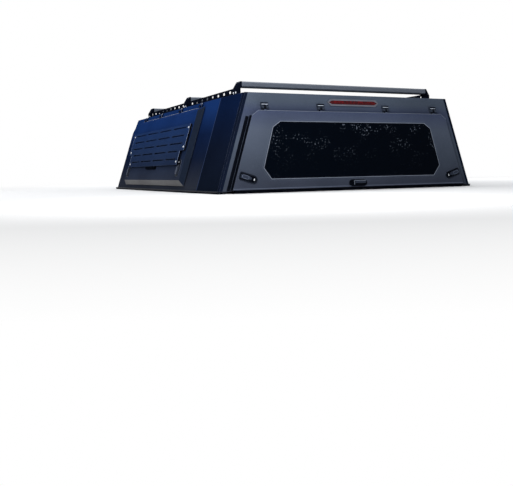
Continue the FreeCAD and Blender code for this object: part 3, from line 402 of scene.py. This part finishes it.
for node_name, node in NODES.items():
    if len(node.material_slots) == 0:
        node.data.materials.append(None)
    for material_slot in node.material_slots:
        material_slot.material = look_of(node_name)
    for start, width in ROUNDED.items():
        if node_name.startswith(start):
            rounding = node.modifiers.new("rounded", "BEVEL")
            rounding.width = width
            rounding.segments = 2
            rounding.limit_method = "ANGLE"
            rounding.angle_limit = math.radians(35)
            rounding.harden_normals = True


# Shapes. Each returns (vertices, faces) in its frame's own millimetres.
def prism(outline, low, high):
    """An outline, listed anticlockwise, between two levels."""
    count = len(outline)
    points = [(x, y, low) for x, y in outline] + [(x, y, high) for x, y in outline]
    faces = [tuple(reversed(range(count))), tuple(range(count, 2 * count))]
    faces += [(i, (i + 1) % count, count + (i + 1) % count, count + i) for i in range(count)]
    return points, faces


def ring(outer, inner, low, high):
    """A frame between two outlines that have the same number of points."""
    count = len(outer)
    points = []
    for level in (low, high):
        for outline in (outer, inner):
            points += [(x, y, level) for x, y in outline]
    faces = []
    for i in range(count):
        j = (i + 1) % count
        a, b, c, d = i, count + i, 2 * count + i, 3 * count + i
        e, f, g, h = j, count + j, 2 * count + j, 3 * count + j
        faces += [(a, b, f, e), (c, g, h, d), (a, e, g, c), (b, d, h, f)]
    return points, faces


def box(x0, x1, y0, y1, z0, z1):
    return prism([(x0, y0), (x1, y0), (x1, y1), (x0, y1)], z0, z1)


def slot_outline(x, y, length, width, steps=10):
    """A round-ended outline about a centre."""
    radius = width / 2
    reach = length / 2 - radius
    points = []
    for side, start in ((1, -90), (-1, 90)):
        for step in range(steps + 1):
            angle = math.radians(start + 180 * step / steps)
            points.append((x + side * reach + radius * math.cos(angle),
                           y + radius * math.sin(angle)))
    return points


def lathe(x, y, profile, steps=24, six=()):
    """A profile of (radius, level) turned about a line through (x, y). Rows in six are hexagons."""
    points, faces = [], []
    for row, (radius, level) in enumerate(profile):
        for step in range(steps):
            angle = 2 * math.pi * step / steps
            reach = radius
            if row in six:
                part = (angle + math.pi / 6) % (math.pi / 3) - math.pi / 6
                reach = radius / math.cos(part)
            points.append((x + reach * math.cos(angle), y + reach * math.sin(angle), level))
    for row in range(len(profile) - 1):
        for step in range(steps):
            after = (step + 1) % steps
            a, b = row * steps + step, row * steps + after
            faces.append((a, b, b + steps, a + steps))
    last = (len(profile) - 1) * steps
    faces.append(tuple(range(last, last + steps)))
    faces.append(tuple(reversed(range(steps))))
    return points, faces


def dome_screw(x, y, seat, radius=5.0, high=3.2):
    """A domed head with a hexagon socket, on a washer."""
    washer = [(radius * 1.35, seat), (radius * 1.35, seat + 0.8), (radius, seat + 0.8)]
    dome = [(radius * math.cos(a), seat + 0.8 + high * math.sin(a)) for a in (0.35, 0.75, 1.1)]
    socket = [(radius * 0.45, seat + 0.8 + high * 0.93), (radius * 0.42, seat + 0.8 + high * 0.4)]
    profile = washer + dome + socket
    return lathe(x, y, profile, six=(len(profile) - 2, len(profile) - 1))


def piece(name, shapes, look, place, body, hand=1, rounding=0.0):
    """One object of several closed shapes, put in place and tied to its body."""
    mesh = bpy.data.meshes.new(name)
    points, faces = [], []
    for shape_points, shape_faces in shapes:
        start = len(points)
        points += shape_points
        faces += [tuple(start + number for number in face) for face in shape_faces]
    turn = (MIRROR if hand < 0 else Matrix.Identity(4)) @ place
    mesh.from_pydata([turn @ Vector(point) for point in points], [], faces)
    work = bmesh.new()
    work.from_mesh(mesh)
    bmesh.ops.recalc_face_normals(work, faces=work.faces)
    work.to_mesh(mesh)
    work.free()
    mesh.materials.append(look)
    item = bpy.data.objects.new(name, mesh)
    bpy.context.scene.collection.objects.link(item)
    if rounding:
        bevel = item.modifiers.new("rounded", "BEVEL")
        bevel.width = rounding
        bevel.segments = 2
        bevel.limit_method = "ANGLE"
        bevel.angle_limit = math.radians(40)
    mesh.shade_smooth()
    mesh.set_sharp_from_angle(angle=math.radians(35))
    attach(item, body)
    return item


HANDS = (("right", 1), ("left", -1))
# Width of the rear frame's pillars, which stand beside the rear door
PILLAR = 60


def door_side(up):
    """Half width of the rear door at a height on it."""
    return BASE_HALF - TUCK - PILLAR - SLOPE * up


def shifted(frame_, x, y, z, turn=(0, 0, 0)):
    """A frame moved to a point of another frame, and turned there by degrees."""
    return frame_ @ Matrix.Translation((x, y, z)) @ Euler(
        [math.radians(angle) for angle in turn], "XYZ").to_matrix().to_4x4()


def strip(line, width, low, high):
    """Flat bars along the runs of a line, to its left."""
    shapes = []
    for (x0, y0), (x1, y1) in zip(line, line[1:]):
        length = math.hypot(x1 - x0, y1 - y0)
        a, b = (y0 - y1) / length * width, (x1 - x0) / length * width
        shapes.append(prism([(x0, y0), (x1, y1), (x1 + a, y1 + b), (x0 + a, y0 + b)], low, high))
    return shapes


def both(half):
    """A whole outline from its right half, listed from the bottom up."""
    return half + [(-x, y) for x, y in reversed(half)]


# Slotted plates: screws over their spacers, and painted highlight lines along their ends. The plate
# is wide above its step and narrow below it.
SPACER, PLATE_THICK = 12, 3
PLATE_TOP = DOOR_FACE + SPACER + PLATE_THICK
PLATE_WIDE, PLATE_NARROW = 640, 572
PLATE_LOW, PLATE_STEP, PLATE_HIGH = 144, 236, 403
SCREW_IN = 22
SCREW_ROWS = ((PLATE_WIDE, PLATE_HIGH - SCREW_IN), (PLATE_WIDE, PLATE_STEP + SCREW_IN),
              (PLATE_NARROW, PLATE_LOW + SCREW_IN))
for side, hand in HANDS:
    body = f"side_door_{side}"
    spots = [(DOOR_MIDDLE + way * (half - SCREW_IN), up) for way in (1, -1)
             for half, up in SCREW_ROWS]
    piece(f"plate_screws_{side}", [dome_screw(x, y, PLATE_TOP, 5.2, 3.4) for x, y in spots],
          SCREW, SIDE, body, hand)
    # Painted highlights along the plate's ends
    edges = []
    for way in (1, -1):
        outer, inner = DOOR_MIDDLE + way * PLATE_WIDE, DOOR_MIDDLE + way * PLATE_NARROW
        for x, low, high in ((outer, PLATE_STEP, PLATE_HIGH), (inner, PLATE_LOW, PLATE_STEP)):
            x0, x1 = sorted((x - way * 0.4, x - way * 3.0))
            edges.append(box(x0, x1, low + 2, high - 2, PLATE_TOP - 0.2, PLATE_TOP + 0.6))
    piece(f"plate_edge_lines_{side}", edges, PLATE_EDGE_HIGHLIGHT, SIDE, body, hand)

# A painted highlight along each side door's top seam, in short runs clear of the hinges, and the
# hinges' screws and painted highlights on their knuckles
SEAM_HALF, SEAM_RUN, SEAM_STEP, SEAM_CLEAR = 640, 19, 25, 24
for side, hand in HANDS:
    body = f"side_door_{side}"
    runs, start = [], DOOR_MIDDLE - SEAM_HALF
    while start < DOOR_MIDDLE + SEAM_HALF:
        if all(abs(start + SEAM_RUN // 2 - centre) > SEAM_CLEAR for centre in SIDE_HINGES):
            runs.append(box(start, start + SEAM_RUN, 514.8, 519.4, 8.3, 11.4))
        start += SEAM_STEP
    piece(f"door_seam_highlight_{side}", runs, TRIM_AND_HIGHLIGHT, SIDE, body, hand)
    heads = [dome_screw(centre + way * 13, 543.5, 10, 2.4, 1.6)
             for centre in SIDE_HINGES for way in (1, -1)]
    piece(f"side_hinge_screws_{side}", heads, TRIM_AND_HIGHLIGHT, SIDE, "root", hand)
    # Painted highlights on the hinge knuckles
    knuckle_highlights = [box(centre - 22, centre - 17, 524, 549, 10, 12) for centre in SIDE_HINGES]
    piece(f"side_hinge_knuckle_highlights_{side}", knuckle_highlights, BRIGHT_HIGHLIGHT, SIDE, "root", hand)

# Rear hinge covers: two raised bars each, with a painted highlight line between them
bars = [box(centre - 20, centre + 20, up, up + 5, 12, 13.6)
        for centre in REAR_HINGES for up in (458, 469)]
piece("rear_hinge_bars", bars, LOCK_DARK, REAR, "root", 1, 0.0006)
lines = [box(centre - 19, centre + 19, 464.2, 467.6, 12, 12.5) for centre in REAR_HINGES]
piece("rear_hinge_highlights", lines, BRIGHT_HIGHLIGHT, REAR, "root")


# Corner locks: a rimmed plate, a folding grip and a key barrel, about the lock's own centre
LOCK_UP, LOCK_IN, REAR_LOCK_UP, REAR_LOCK_IN, REAR_LOCK_TURN = 129, 92, 68, 73, -17
LOCK_END = 34


def lock_outline(length, width, corner, x=0.0):
    """Round at the key's end and nearly square at the other."""
    radius = width / 2
    ends = ((length / 2 - radius, 0, radius, -90, 10), (length / 2 - radius, 0, radius, 0, 10),
            (corner - length / 2, radius - corner, corner, 90, 4),
            (corner - length / 2, corner - radius, corner, 180, 4))
    points = []
    for centre, up, reach, start, steps in ends:
        for step in range(steps + 1):
            angle = math.radians(start + 90 * step / steps)
            points.append((x + centre + reach * math.cos(angle), up + reach * math.sin(angle)))
    return [point for point, after in zip(points, points[1:] + points[:1])
            if math.dist(point, after) > 0.01]


def lock_shapes():
    """The shapes of each part of a lock, whose key turns LOCK_END from its centre."""
    rim = ring(lock_outline(108, 46, 9), lock_outline(96, 34, 5), 0, 5)
    # These light rings are painted highlights: one on the grip, one round the rim's outer edge
    line = [ring(slot_outline(-20, 0, 40, 19), slot_outline(-20, 0, 37, 16), 9, 13.4)]
    line.append(ring(lock_outline(109, 47, 9.5), lock_outline(106, 44, 8), 0, 1))
    floor_ = prism(lock_outline(96.2, 34.2, 5), 0, 1.5)
    grip = [prism(lock_outline(58, 23, 4, -15), 1.5, 8), prism(lock_outline(46, 19, 4, -15), 8, 13)]
    catch = [box(12, 19, -7, 7, 1.5, 6)]
    barrel = [lathe(LOCK_END, 0, [(11.5, 2), (11.5, 6.5), (10.6, 7.4), (8.6, 7.4), (8.6, 6.4)])]
    core = [lathe(LOCK_END, 0, [(3.6, 2), (3.6, 6.9), (3.0, 7.6)]),
            box(LOCK_END - 2, LOCK_END + 2, -6.4, 6.4, 7.2, 8.8)]
    return rim, line, floor_, grip, catch, barrel, core


def lock_pieces(name, places, body, node_names):
    """Detailed locks in place of the plain ones. A place is a frame and a hand."""
    rim, line, floor_, grip, catch, barrel, core = lock_shapes()
    parts = (("rim", [rim], LOCK_RIM, 0.0009), ("line", line, SOFT_TRIM_AND_HIGHLIGHT, 0),
             ("floor", [floor_], LOCK_DARK, 0), ("grip", grip + catch, LOCK_PLASTIC, 0.0014),
             ("barrel", barrel, LOCK_DARK, 0),
             ("key", core, SCREW, 0.0003))
    for number, (place, hand) in enumerate(places):
        for part, shapes, look, rounding in parts:
            item = piece(f"{name}_{part}_{number}", shapes, look, place, body,
                         hand, rounding)
            if part == "rim" and number == 0:
                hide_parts(*node_names)


for side, hand in HANDS:
    seats = [(shifted(SIDE, station, LOCK_UP, DOOR_FACE, (0, 0, 90)), hand)
             for station in (DOOR_REAR + LOCK_IN, DOOR_FRONT - LOCK_IN)]
    lock_pieces(f"side_lock_{side}", seats, f"side_door_{side}", [f"side_door_locks_{side}"])
rear_lock_seat = shifted(REAR, REAR_LOCK_IN - door_side(REAR_LOCK_UP), REAR_LOCK_UP, REAR_FACE,
                         (0, 0, REAR_LOCK_TURN))
lock_pieces("rear_lock", [(rear_lock_seat, hand) for hand in (1, -1)], "rear_door",
            ["rear_door_locks"])

# Rear door's handle: a framed recess with a pull, and a round key housing at its left
SEAT = shifted(REAR, 0, 0, REAR_FACE)
HANDLE_UP = 27
shell = [ring(slot_outline(0, HANDLE_UP, 120, 38, 4), slot_outline(0, HANDLE_UP, 112, 30, 4),
              0, 6)]
handle = piece("rear_handle_plate", shell, LOCK_DARK, SEAT, "rear_door", 1, 0.0008)
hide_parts("rear_door_handle")
piece("rear_handle_floor", [prism(slot_outline(0, HANDLE_UP, 112.2, 30.2, 4), 0, 2)], RUBBER,
      SEAT, "rear_door")
piece("rear_handle_pull", [box(-18, 48, 24, 38, 2, 9), box(-14, 44, 26, 31, 9, 11)],
      LOCK_PLASTIC, SEAT, "rear_door", 1, 0.0012)
piece("rear_handle_key", [lathe(-38, 29, [(8.5, 2), (8.5, 8.5), (7.5, 9.4), (4.6, 9.4)])],
      LOCK_DARK, SEAT, "rear_door")
# Painted highlight lines along the pull's top and beside the key housing
marks = [box(-24, 50, 38.6, 41, 2, 7.4), box(-27, -25, 17, 40, 2, 7)]
piece("rear_handle_highlights", marks, TRIM_AND_HIGHLIGHT, SEAT, "rear_door")

# Rear door: a painted highlight round the window, painted highlight lines along the door's edges,
# and a black strip in the channels beside it. Each corner of the window is given as its height and
# its distance in from the door's side.
WINDOW = ((62, 215), (121, 153), (340, 147), (371, 181))
REAR_DOOR_SHOULDER, REAR_DOOR_TOP = 402, 431


def window(grow):
    shares = ((0.5, -1), (1, -1 / 3), (1, 0.5), (0.5, 1))
    return both([(door_side(up) - margin + grow * across, up + grow * rise)
                 for (up, margin), (across, rise) in zip(WINDOW, shares)])


# The light ring round the window is a painted highlight
piece("window_edge_highlight", [ring(window(3.4), window(0.4), 28.2, 29.9)], TRIM_AND_HIGHLIGHT, REAR, "rear_door")
piece("window_border", [ring(window(0.4), window(-7), 28.4, 28.9)], RUBBER, REAR, "rear_door")
piece("window_bead", [ring(window(12.4), window(3.2), 28.2, 29.6)], REAR_DOOR_COAT, REAR,
      "rear_door", 1, 0.0003)
edge = both([(door_side(REAR_DOOR_SHOULDER) - 4, REAR_DOOR_SHOULDER),
             (door_side(REAR_DOOR_SHOULDER) - 44, REAR_DOOR_TOP)])
# Painted highlights along the door's top corner edges and its bottom edge
piece("rear_door_edge_top_highlight", strip(edge, 1.6, 29.3, 29.9), TRIM_AND_HIGHLIGHT, REAR, "rear_door")
low = door_side(6) - 6
piece("rear_door_edge_low_highlight", [box(-low, low, 8.2, 11, 29.4, 29.9)], SOFT_TRIM_AND_HIGHLIGHT, REAR, "rear_door")
for side, hand in HANDS:
    # A black strip on the frame in the gap beside the door
    channel = prism([(door_side(2) + 1.5, 2), (door_side(2) + 21, 2),
                     (door_side(REAR_DOOR_SHOULDER) + 21, REAR_DOOR_SHOULDER),
                     (door_side(398) + 1.5, 398)], 0, 3)
    piece(f"channel_black_strip_{side}", [channel], RUBBER, REAR, "root", hand, 0.0006)

# Front window: a rubber seal over its edge
FRONT_HALF, FRONT_LOW, FRONT_HIGH, FRONT_CUT = 500, 110, 380, 50


def front_window(grow):
    half, low, high = FRONT_HALF + grow, FRONT_LOW - grow, FRONT_HIGH + grow
    return both([(half - FRONT_CUT, low), (half, low + FRONT_CUT), (half, high - FRONT_CUT),
                 (half - FRONT_CUT, high)])


FRONT = UPRIGHT @ Matrix.Translation((0, LENGTH, 0)) @ Euler(
    (math.pi / 2, 0, math.pi), "XYZ").to_matrix().to_4x4()
piece("front_window_seal", [ring(front_window(16), front_window(3), -1.2, 2.4)], RUBBER, FRONT,
      "root", 1, 0.001)
piece("front_window_line", [ring(front_window(3), front_window(0.5), -1.2, 0.6)], SOFT_TRIM_AND_HIGHLIGHT,
      FRONT, "root")

# Lamp: the ribs of its lens
LAMP_LOW, LAMP_HIGH, RIB_REACH, RIB_PITCH = 477.5, 496.5, 140, 10
ribs = [box(x - 0.7, x + 0.7, LAMP_LOW, LAMP_HIGH, 6.8, 7.6)
        for x in range(-RIB_REACH, RIB_REACH + 1, RIB_PITCH)]
piece("lamp_ribs", ribs, LAMP, REAR, "root")

# Rack: bolts in the feet and rails, end caps and the rubber in the bars' grooves
RAIL_OUT, BAR_HALF = 646, 632
BARS = (184, 1043, 1902)
WALL = UPRIGHT @ Euler((math.pi / 2, 0, math.pi / 2), "XYZ").to_matrix().to_4x4()
for side, hand in HANDS:
    heads = [dome_screw(station + way * 17, HEIGHT + 13, RAIL_OUT + 18, 5.0, 3.0)
             for station in BARS for way in (1, -1)]
    piece(f"foot_bolts_{side}", heads, SCREW, WALL, "root", hand)
    heads = [dome_screw(RAIL_OUT - 20, station, HEIGHT + 4, 4.0, 2.6)
             for station in range(240, 1900, 186)]
    piece(f"rail_bolts_{side}", heads, TRIM_AND_HIGHLIGHT, UPRIGHT, "root", hand)
    caps = [prism([(station - 25, HEIGHT + 48), (station + 25, HEIGHT + 48),
                   (station + 25, HEIGHT + 72), (station - 25, HEIGHT + 72)], RAIL_OUT - 3,
                  RAIL_OUT - 1) for station in BARS]
    piece(f"bar_caps_{side}", caps, LOCK_PLASTIC, WALL, "root", hand, 0.0008)
fill = [box(-BAR_HALF + 4, BAR_HALF - 4, station - 4.6, station + 4.6, HEIGHT + 68, HEIGHT + 75)
        for station in BARS]
piece("bar_groove_rubber", fill, RUBBER, UPRIGHT, "root", 1, 0.0008)


# Gas struts, round, in place of the eight-sided ones
def strut(name, place, length, tube, bodies, nodes, pin_turn, hand=1):
    """A strut along its own third axis. pin_turn turns that axis to lie along its pins."""
    barrel = lathe(0, 0, [(4.8, 6), (4.8, 12), (8.4, 13.2), (9, 14.5), (9, tube - 16),
                          (8.5, tube - 15), (8.5, tube - 13), (9, tube - 12), (9, tube - 2),
                          (8.2, tube), (4.6, tube), (4.6, 20)], 32)
    rod = lathe(0, 0, [(4, 22), (4, length - 14), (5.2, length - 13), (5.2, length - 6)], 24)
    eye = lathe(0, 0, [(7.4, -6), (8.8, -4.8), (8.8, 4.8), (7.4, 6)], 32)
    for part, shapes, look, body, node_name, slot_name, seat in (
            ("tube", [barrel], HARDWARE, bodies[0], nodes[0], "black_hardware", place),
            ("foot", [eye], LOCK_PLASTIC, bodies[0], None, "black_hardware", place @ pin_turn),
            ("rod", [rod], BRIGHT, bodies[1], nodes[1], "bright_steel", place),
            ("end", [eye], LOCK_PLASTIC, bodies[1], None, "bright_steel",
             place @ Matrix.Translation((0, 0, length)) @ pin_turn)):
        item = piece(f"{name}_{part}", shapes, look, seat, body, hand)
        if node_name:
            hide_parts(node_name)


ACROSS = Matrix.Rotation(math.pi / 2, 4, "Y")
SIDE_STRUT_IN, SIDE_FOOT_UP, SIDE_FOOT_DEEP = 58, 200, -22
SIDE_STRUT, SIDE_TUBE = 255, 150
REAR_FOOT = (585, 373, -336)
REAR_STRUT_RISE, REAR_STRUT_RUN = 115, 322
REAR_STRUT, REAR_TUBE = 341.92, 232
for side, hand in HANDS:
    for number, station in enumerate((DOOR_REAR + SIDE_STRUT_IN, DOOR_FRONT - SIDE_STRUT_IN)):
        seat = shifted(SIDE, station, SIDE_FOOT_UP, SIDE_FOOT_DEEP, (-90, 0, 0))
        strut(f"side_strut_{side}_{number}", seat, SIDE_STRUT, SIDE_TUBE,
              (f"side_tubes_{side}", f"side_rods_{side}"),
              (f"side_strut_tubes_{side}", f"side_strut_rods_{side}"), ACROSS, hand)
    turn = math.degrees(math.atan2(REAR_STRUT_RISE, REAR_STRUT_RUN))
    strut(f"rear_strut_{side}", shifted(REAR, *REAR_FOOT, (turn, 0, 0)), REAR_STRUT, REAR_TUBE,
          ("rear_tubes", "rear_rods"), ("rear_strut_tubes", "rear_strut_rods"), ACROSS, hand)

# Inside the doors: latch boxes, the flat rods to their corner locks, and ribs
LATCH_HALF, ROD_FAR, ROD_HALF, RIB_FAR, RIB_HALF = 62, 338, 270, 390, 18
REAR_ROD_END = 650
for side, hand in HANDS:
    body = f"side_door_{side}"
    boxes = [box(DOOR_MIDDLE - LATCH_HALF, DOOR_MIDDLE + LATCH_HALF, 104, 160, 6.5, 18.5)]
    middles = [DOOR_MIDDLE + way * ROD_FAR for way in (1, -1)]
    rods = [box(middle - ROD_HALF, middle + ROD_HALF, 126, 140, 13, 16) for middle in middles]
    ribs = [box(x - RIB_HALF, x + RIB_HALF, 180, 440, 12, 18.5)
            for x in (DOOR_MIDDLE - RIB_FAR, DOOR_MIDDLE, DOOR_MIDDLE + RIB_FAR)]
    piece(f"door_latch_box_{side}", boxes, HARDWARE, SIDE, body, hand, 0.002)
    piece(f"door_latch_rods_{side}", rods, BRIGHT, SIDE, body, hand, 0.0008)
    piece(f"door_inner_ribs_{side}", ribs, PAN_COAT, SIDE, body, hand, 0.003)
piece("rear_latch_box", [box(-64, 64, 12, 52, -10, 4.5)], HARDWARE, REAR, "rear_door",
      1, 0.002)
rods = [box(60, REAR_ROD_END, 26, 38, -3, 0), box(-REAR_ROD_END, -60, 26, 38, -3, 0)]
piece("rear_latch_rods", rods, BRIGHT, REAR, "rear_door", 1, 0.0008)
guides = [box(x - 9, x + 9, 22, 42, -4.5, 4.5) for x in (-610, -340, 340, 610)]
piece("rear_latch_guides", guides, HARDWARE, REAR, "rear_door", 1, 0.001)

# Under the roof: two bows and a light bar
bows = [box(-655, 655, station - 22, station + 22, 490, 506) for station in (720, 1460)]
piece("roof_bows", bows, ROOF_COAT, UPRIGHT, "root", 1, 0.003)
piece("light_bar_case", [box(-320, 320, 150, 186, 497, 506)], LOCK_PLASTIC, UPRIGHT, "root",
      1, 0.002)
piece("light_bar_lens", [box(-312, 312, 156, 180, 494.5, 497)], SCREW, UPRIGHT, "root",
      1, 0.001)

# Camera, at the photo's angle
camera_data = bpy.data.cameras.new("camera")
camera = bpy.data.objects.new("camera", camera_data)
bpy.context.scene.collection.objects.link(camera)
bpy.context.scene.camera = camera
WIDE, TALL = 513, 486
FOCAL, CENTRE = 709.1, (282.8, 176.4)
STAND = (-2.1942, -4.55355, 0.1157)
YAW, PITCH, ROLL = 0.4616, 0.0074, -0.0195
SENSOR = 36
camera_data.sensor_width = SENSOR
camera_data.lens = FOCAL / WIDE * SENSOR
camera_data.shift_x = (WIDE / 2 - CENTRE[0]) / WIDE
camera_data.shift_y = (CENTRE[1] - TALL / 2) / WIDE
camera.matrix_world = (Matrix.Translation(STAND)
                       @ Matrix.Rotation(-YAW, 4, "Z")
                       @ Matrix.Rotation(math.pi / 2 - PITCH, 4, "X")
                       @ Matrix.Rotation(ROLL, 4, "Z"))
camera_data.clip_start = 0.05
camera_data.clip_end = 100


def white_rays(tree):
    """1 for rays from the camera, off gloss and through glass, which see a plain white."""
    rays = tree.nodes.new("ShaderNodeLightPath").outputs
    most = rays["Is Camera Ray"]
    for name in ("Is Glossy Ray", "Is Transmission Ray"):
        either = tree.nodes.new("ShaderNodeMath")
        either.operation = "MAXIMUM"
        tree.links.new(most, either.inputs[0])
        tree.links.new(rays[name], either.inputs[1])
        most = either.outputs[0]
    return most


# Pale floor and backdrop
FAR = 30
stage_mesh = bpy.data.meshes.new("stage_floor")
stage_mesh.from_pydata([(-FAR, -FAR, 0), (FAR, -FAR, 0), (FAR, FAR, 0), (-FAR, FAR, 0)], [],
                       [(0, 1, 2, 3)])
stage_floor = bpy.data.objects.new("stage_floor", stage_mesh)
bpy.context.scene.collection.objects.link(stage_floor)
floor = Nodes("stage_pale")
floor.set(Base_Color=linear(238, 238, 238), Roughness=0.9)
floor.shader.inputs["Specular IOR Level"].default_value = 0.0
# Far from the object the floor is seen as plain white, as the backdrop is
away = floor.add("VectorMath", operation="LENGTH")
floor.put(floor.place(), away.inputs[0])
far = floor.spread(away.outputs["Value"], 1.7, 4.5)
white = floor.add("Emission", Strength=1.0)
blend = floor.add("MixShader")
floor.put(floor.maths("MULTIPLY", far, white_rays(floor.tree)), blend.inputs[0])
floor.put(floor.shader.outputs[0], blend.inputs[1])
floor.put(white.outputs[0], blend.inputs[2])
floor.put(blend.outputs[0], floor.tree.nodes["Material Output"].inputs["Surface"])
stage_mesh.materials.append(floor.material)

# Studio light: a dim, slightly cool world and five soft lamps
STUDIO_STRENGTH = 0.28
world = bpy.data.worlds.new("studio")
bpy.context.scene.world = world
world.use_nodes = True
tree = world.node_tree
tree.nodes.clear()
output = tree.nodes.new("ShaderNodeOutputWorld")
seen = tree.nodes.new("ShaderNodeBackground")
seen.inputs["Color"].default_value = (1, 1, 1, 1)
lit = tree.nodes.new("ShaderNodeBackground")
lit.inputs["Color"].default_value = (0.88, 0.93, 1.0, 1)
lit.inputs["Strength"].default_value = STUDIO_STRENGTH
choose = tree.nodes.new("ShaderNodeMixShader")
tree.links.new(white_rays(tree), choose.inputs[0])
tree.links.new(lit.outputs[0], choose.inputs[1])
tree.links.new(seen.outputs[0], choose.inputs[2])
tree.links.new(choose.outputs[0], output.inputs[0])


def area_light(name, place, aim, size, power):
    """A square lamp that the camera doesn't see."""
    data = bpy.data.lights.new(name, "AREA")
    data.size = size
    data.energy = power
    lamp = bpy.data.objects.new(name, data)
    bpy.context.scene.collection.objects.link(lamp)
    lamp.visible_camera = False
    lamp.location = place
    lamp.rotation_euler = (Vector(aim) - Vector(place)).to_track_quat("-Z", "Y").to_euler()


area_light("key", (-1.25, -2.6, 1.15), (-0.5, -1.1, 0.3), 0.8, 30)
area_light("left", (-3.5, 0.6, 1.8), (-0.8, 0, 0.25), 2.0, 42)
area_light("right", (3.5, 0.6, 1.8), (0.8, 0, 0.25), 2.0, 42)
area_light("front", (0, 4.2, 1.8), (0, 1.0, 0.25), 2.0, 55)
area_light("top", (-0.4, 0, 4.5), (0, 0, 0), 4.0, 100)

scene = bpy.context.scene
scene.view_settings.view_transform = "Standard"
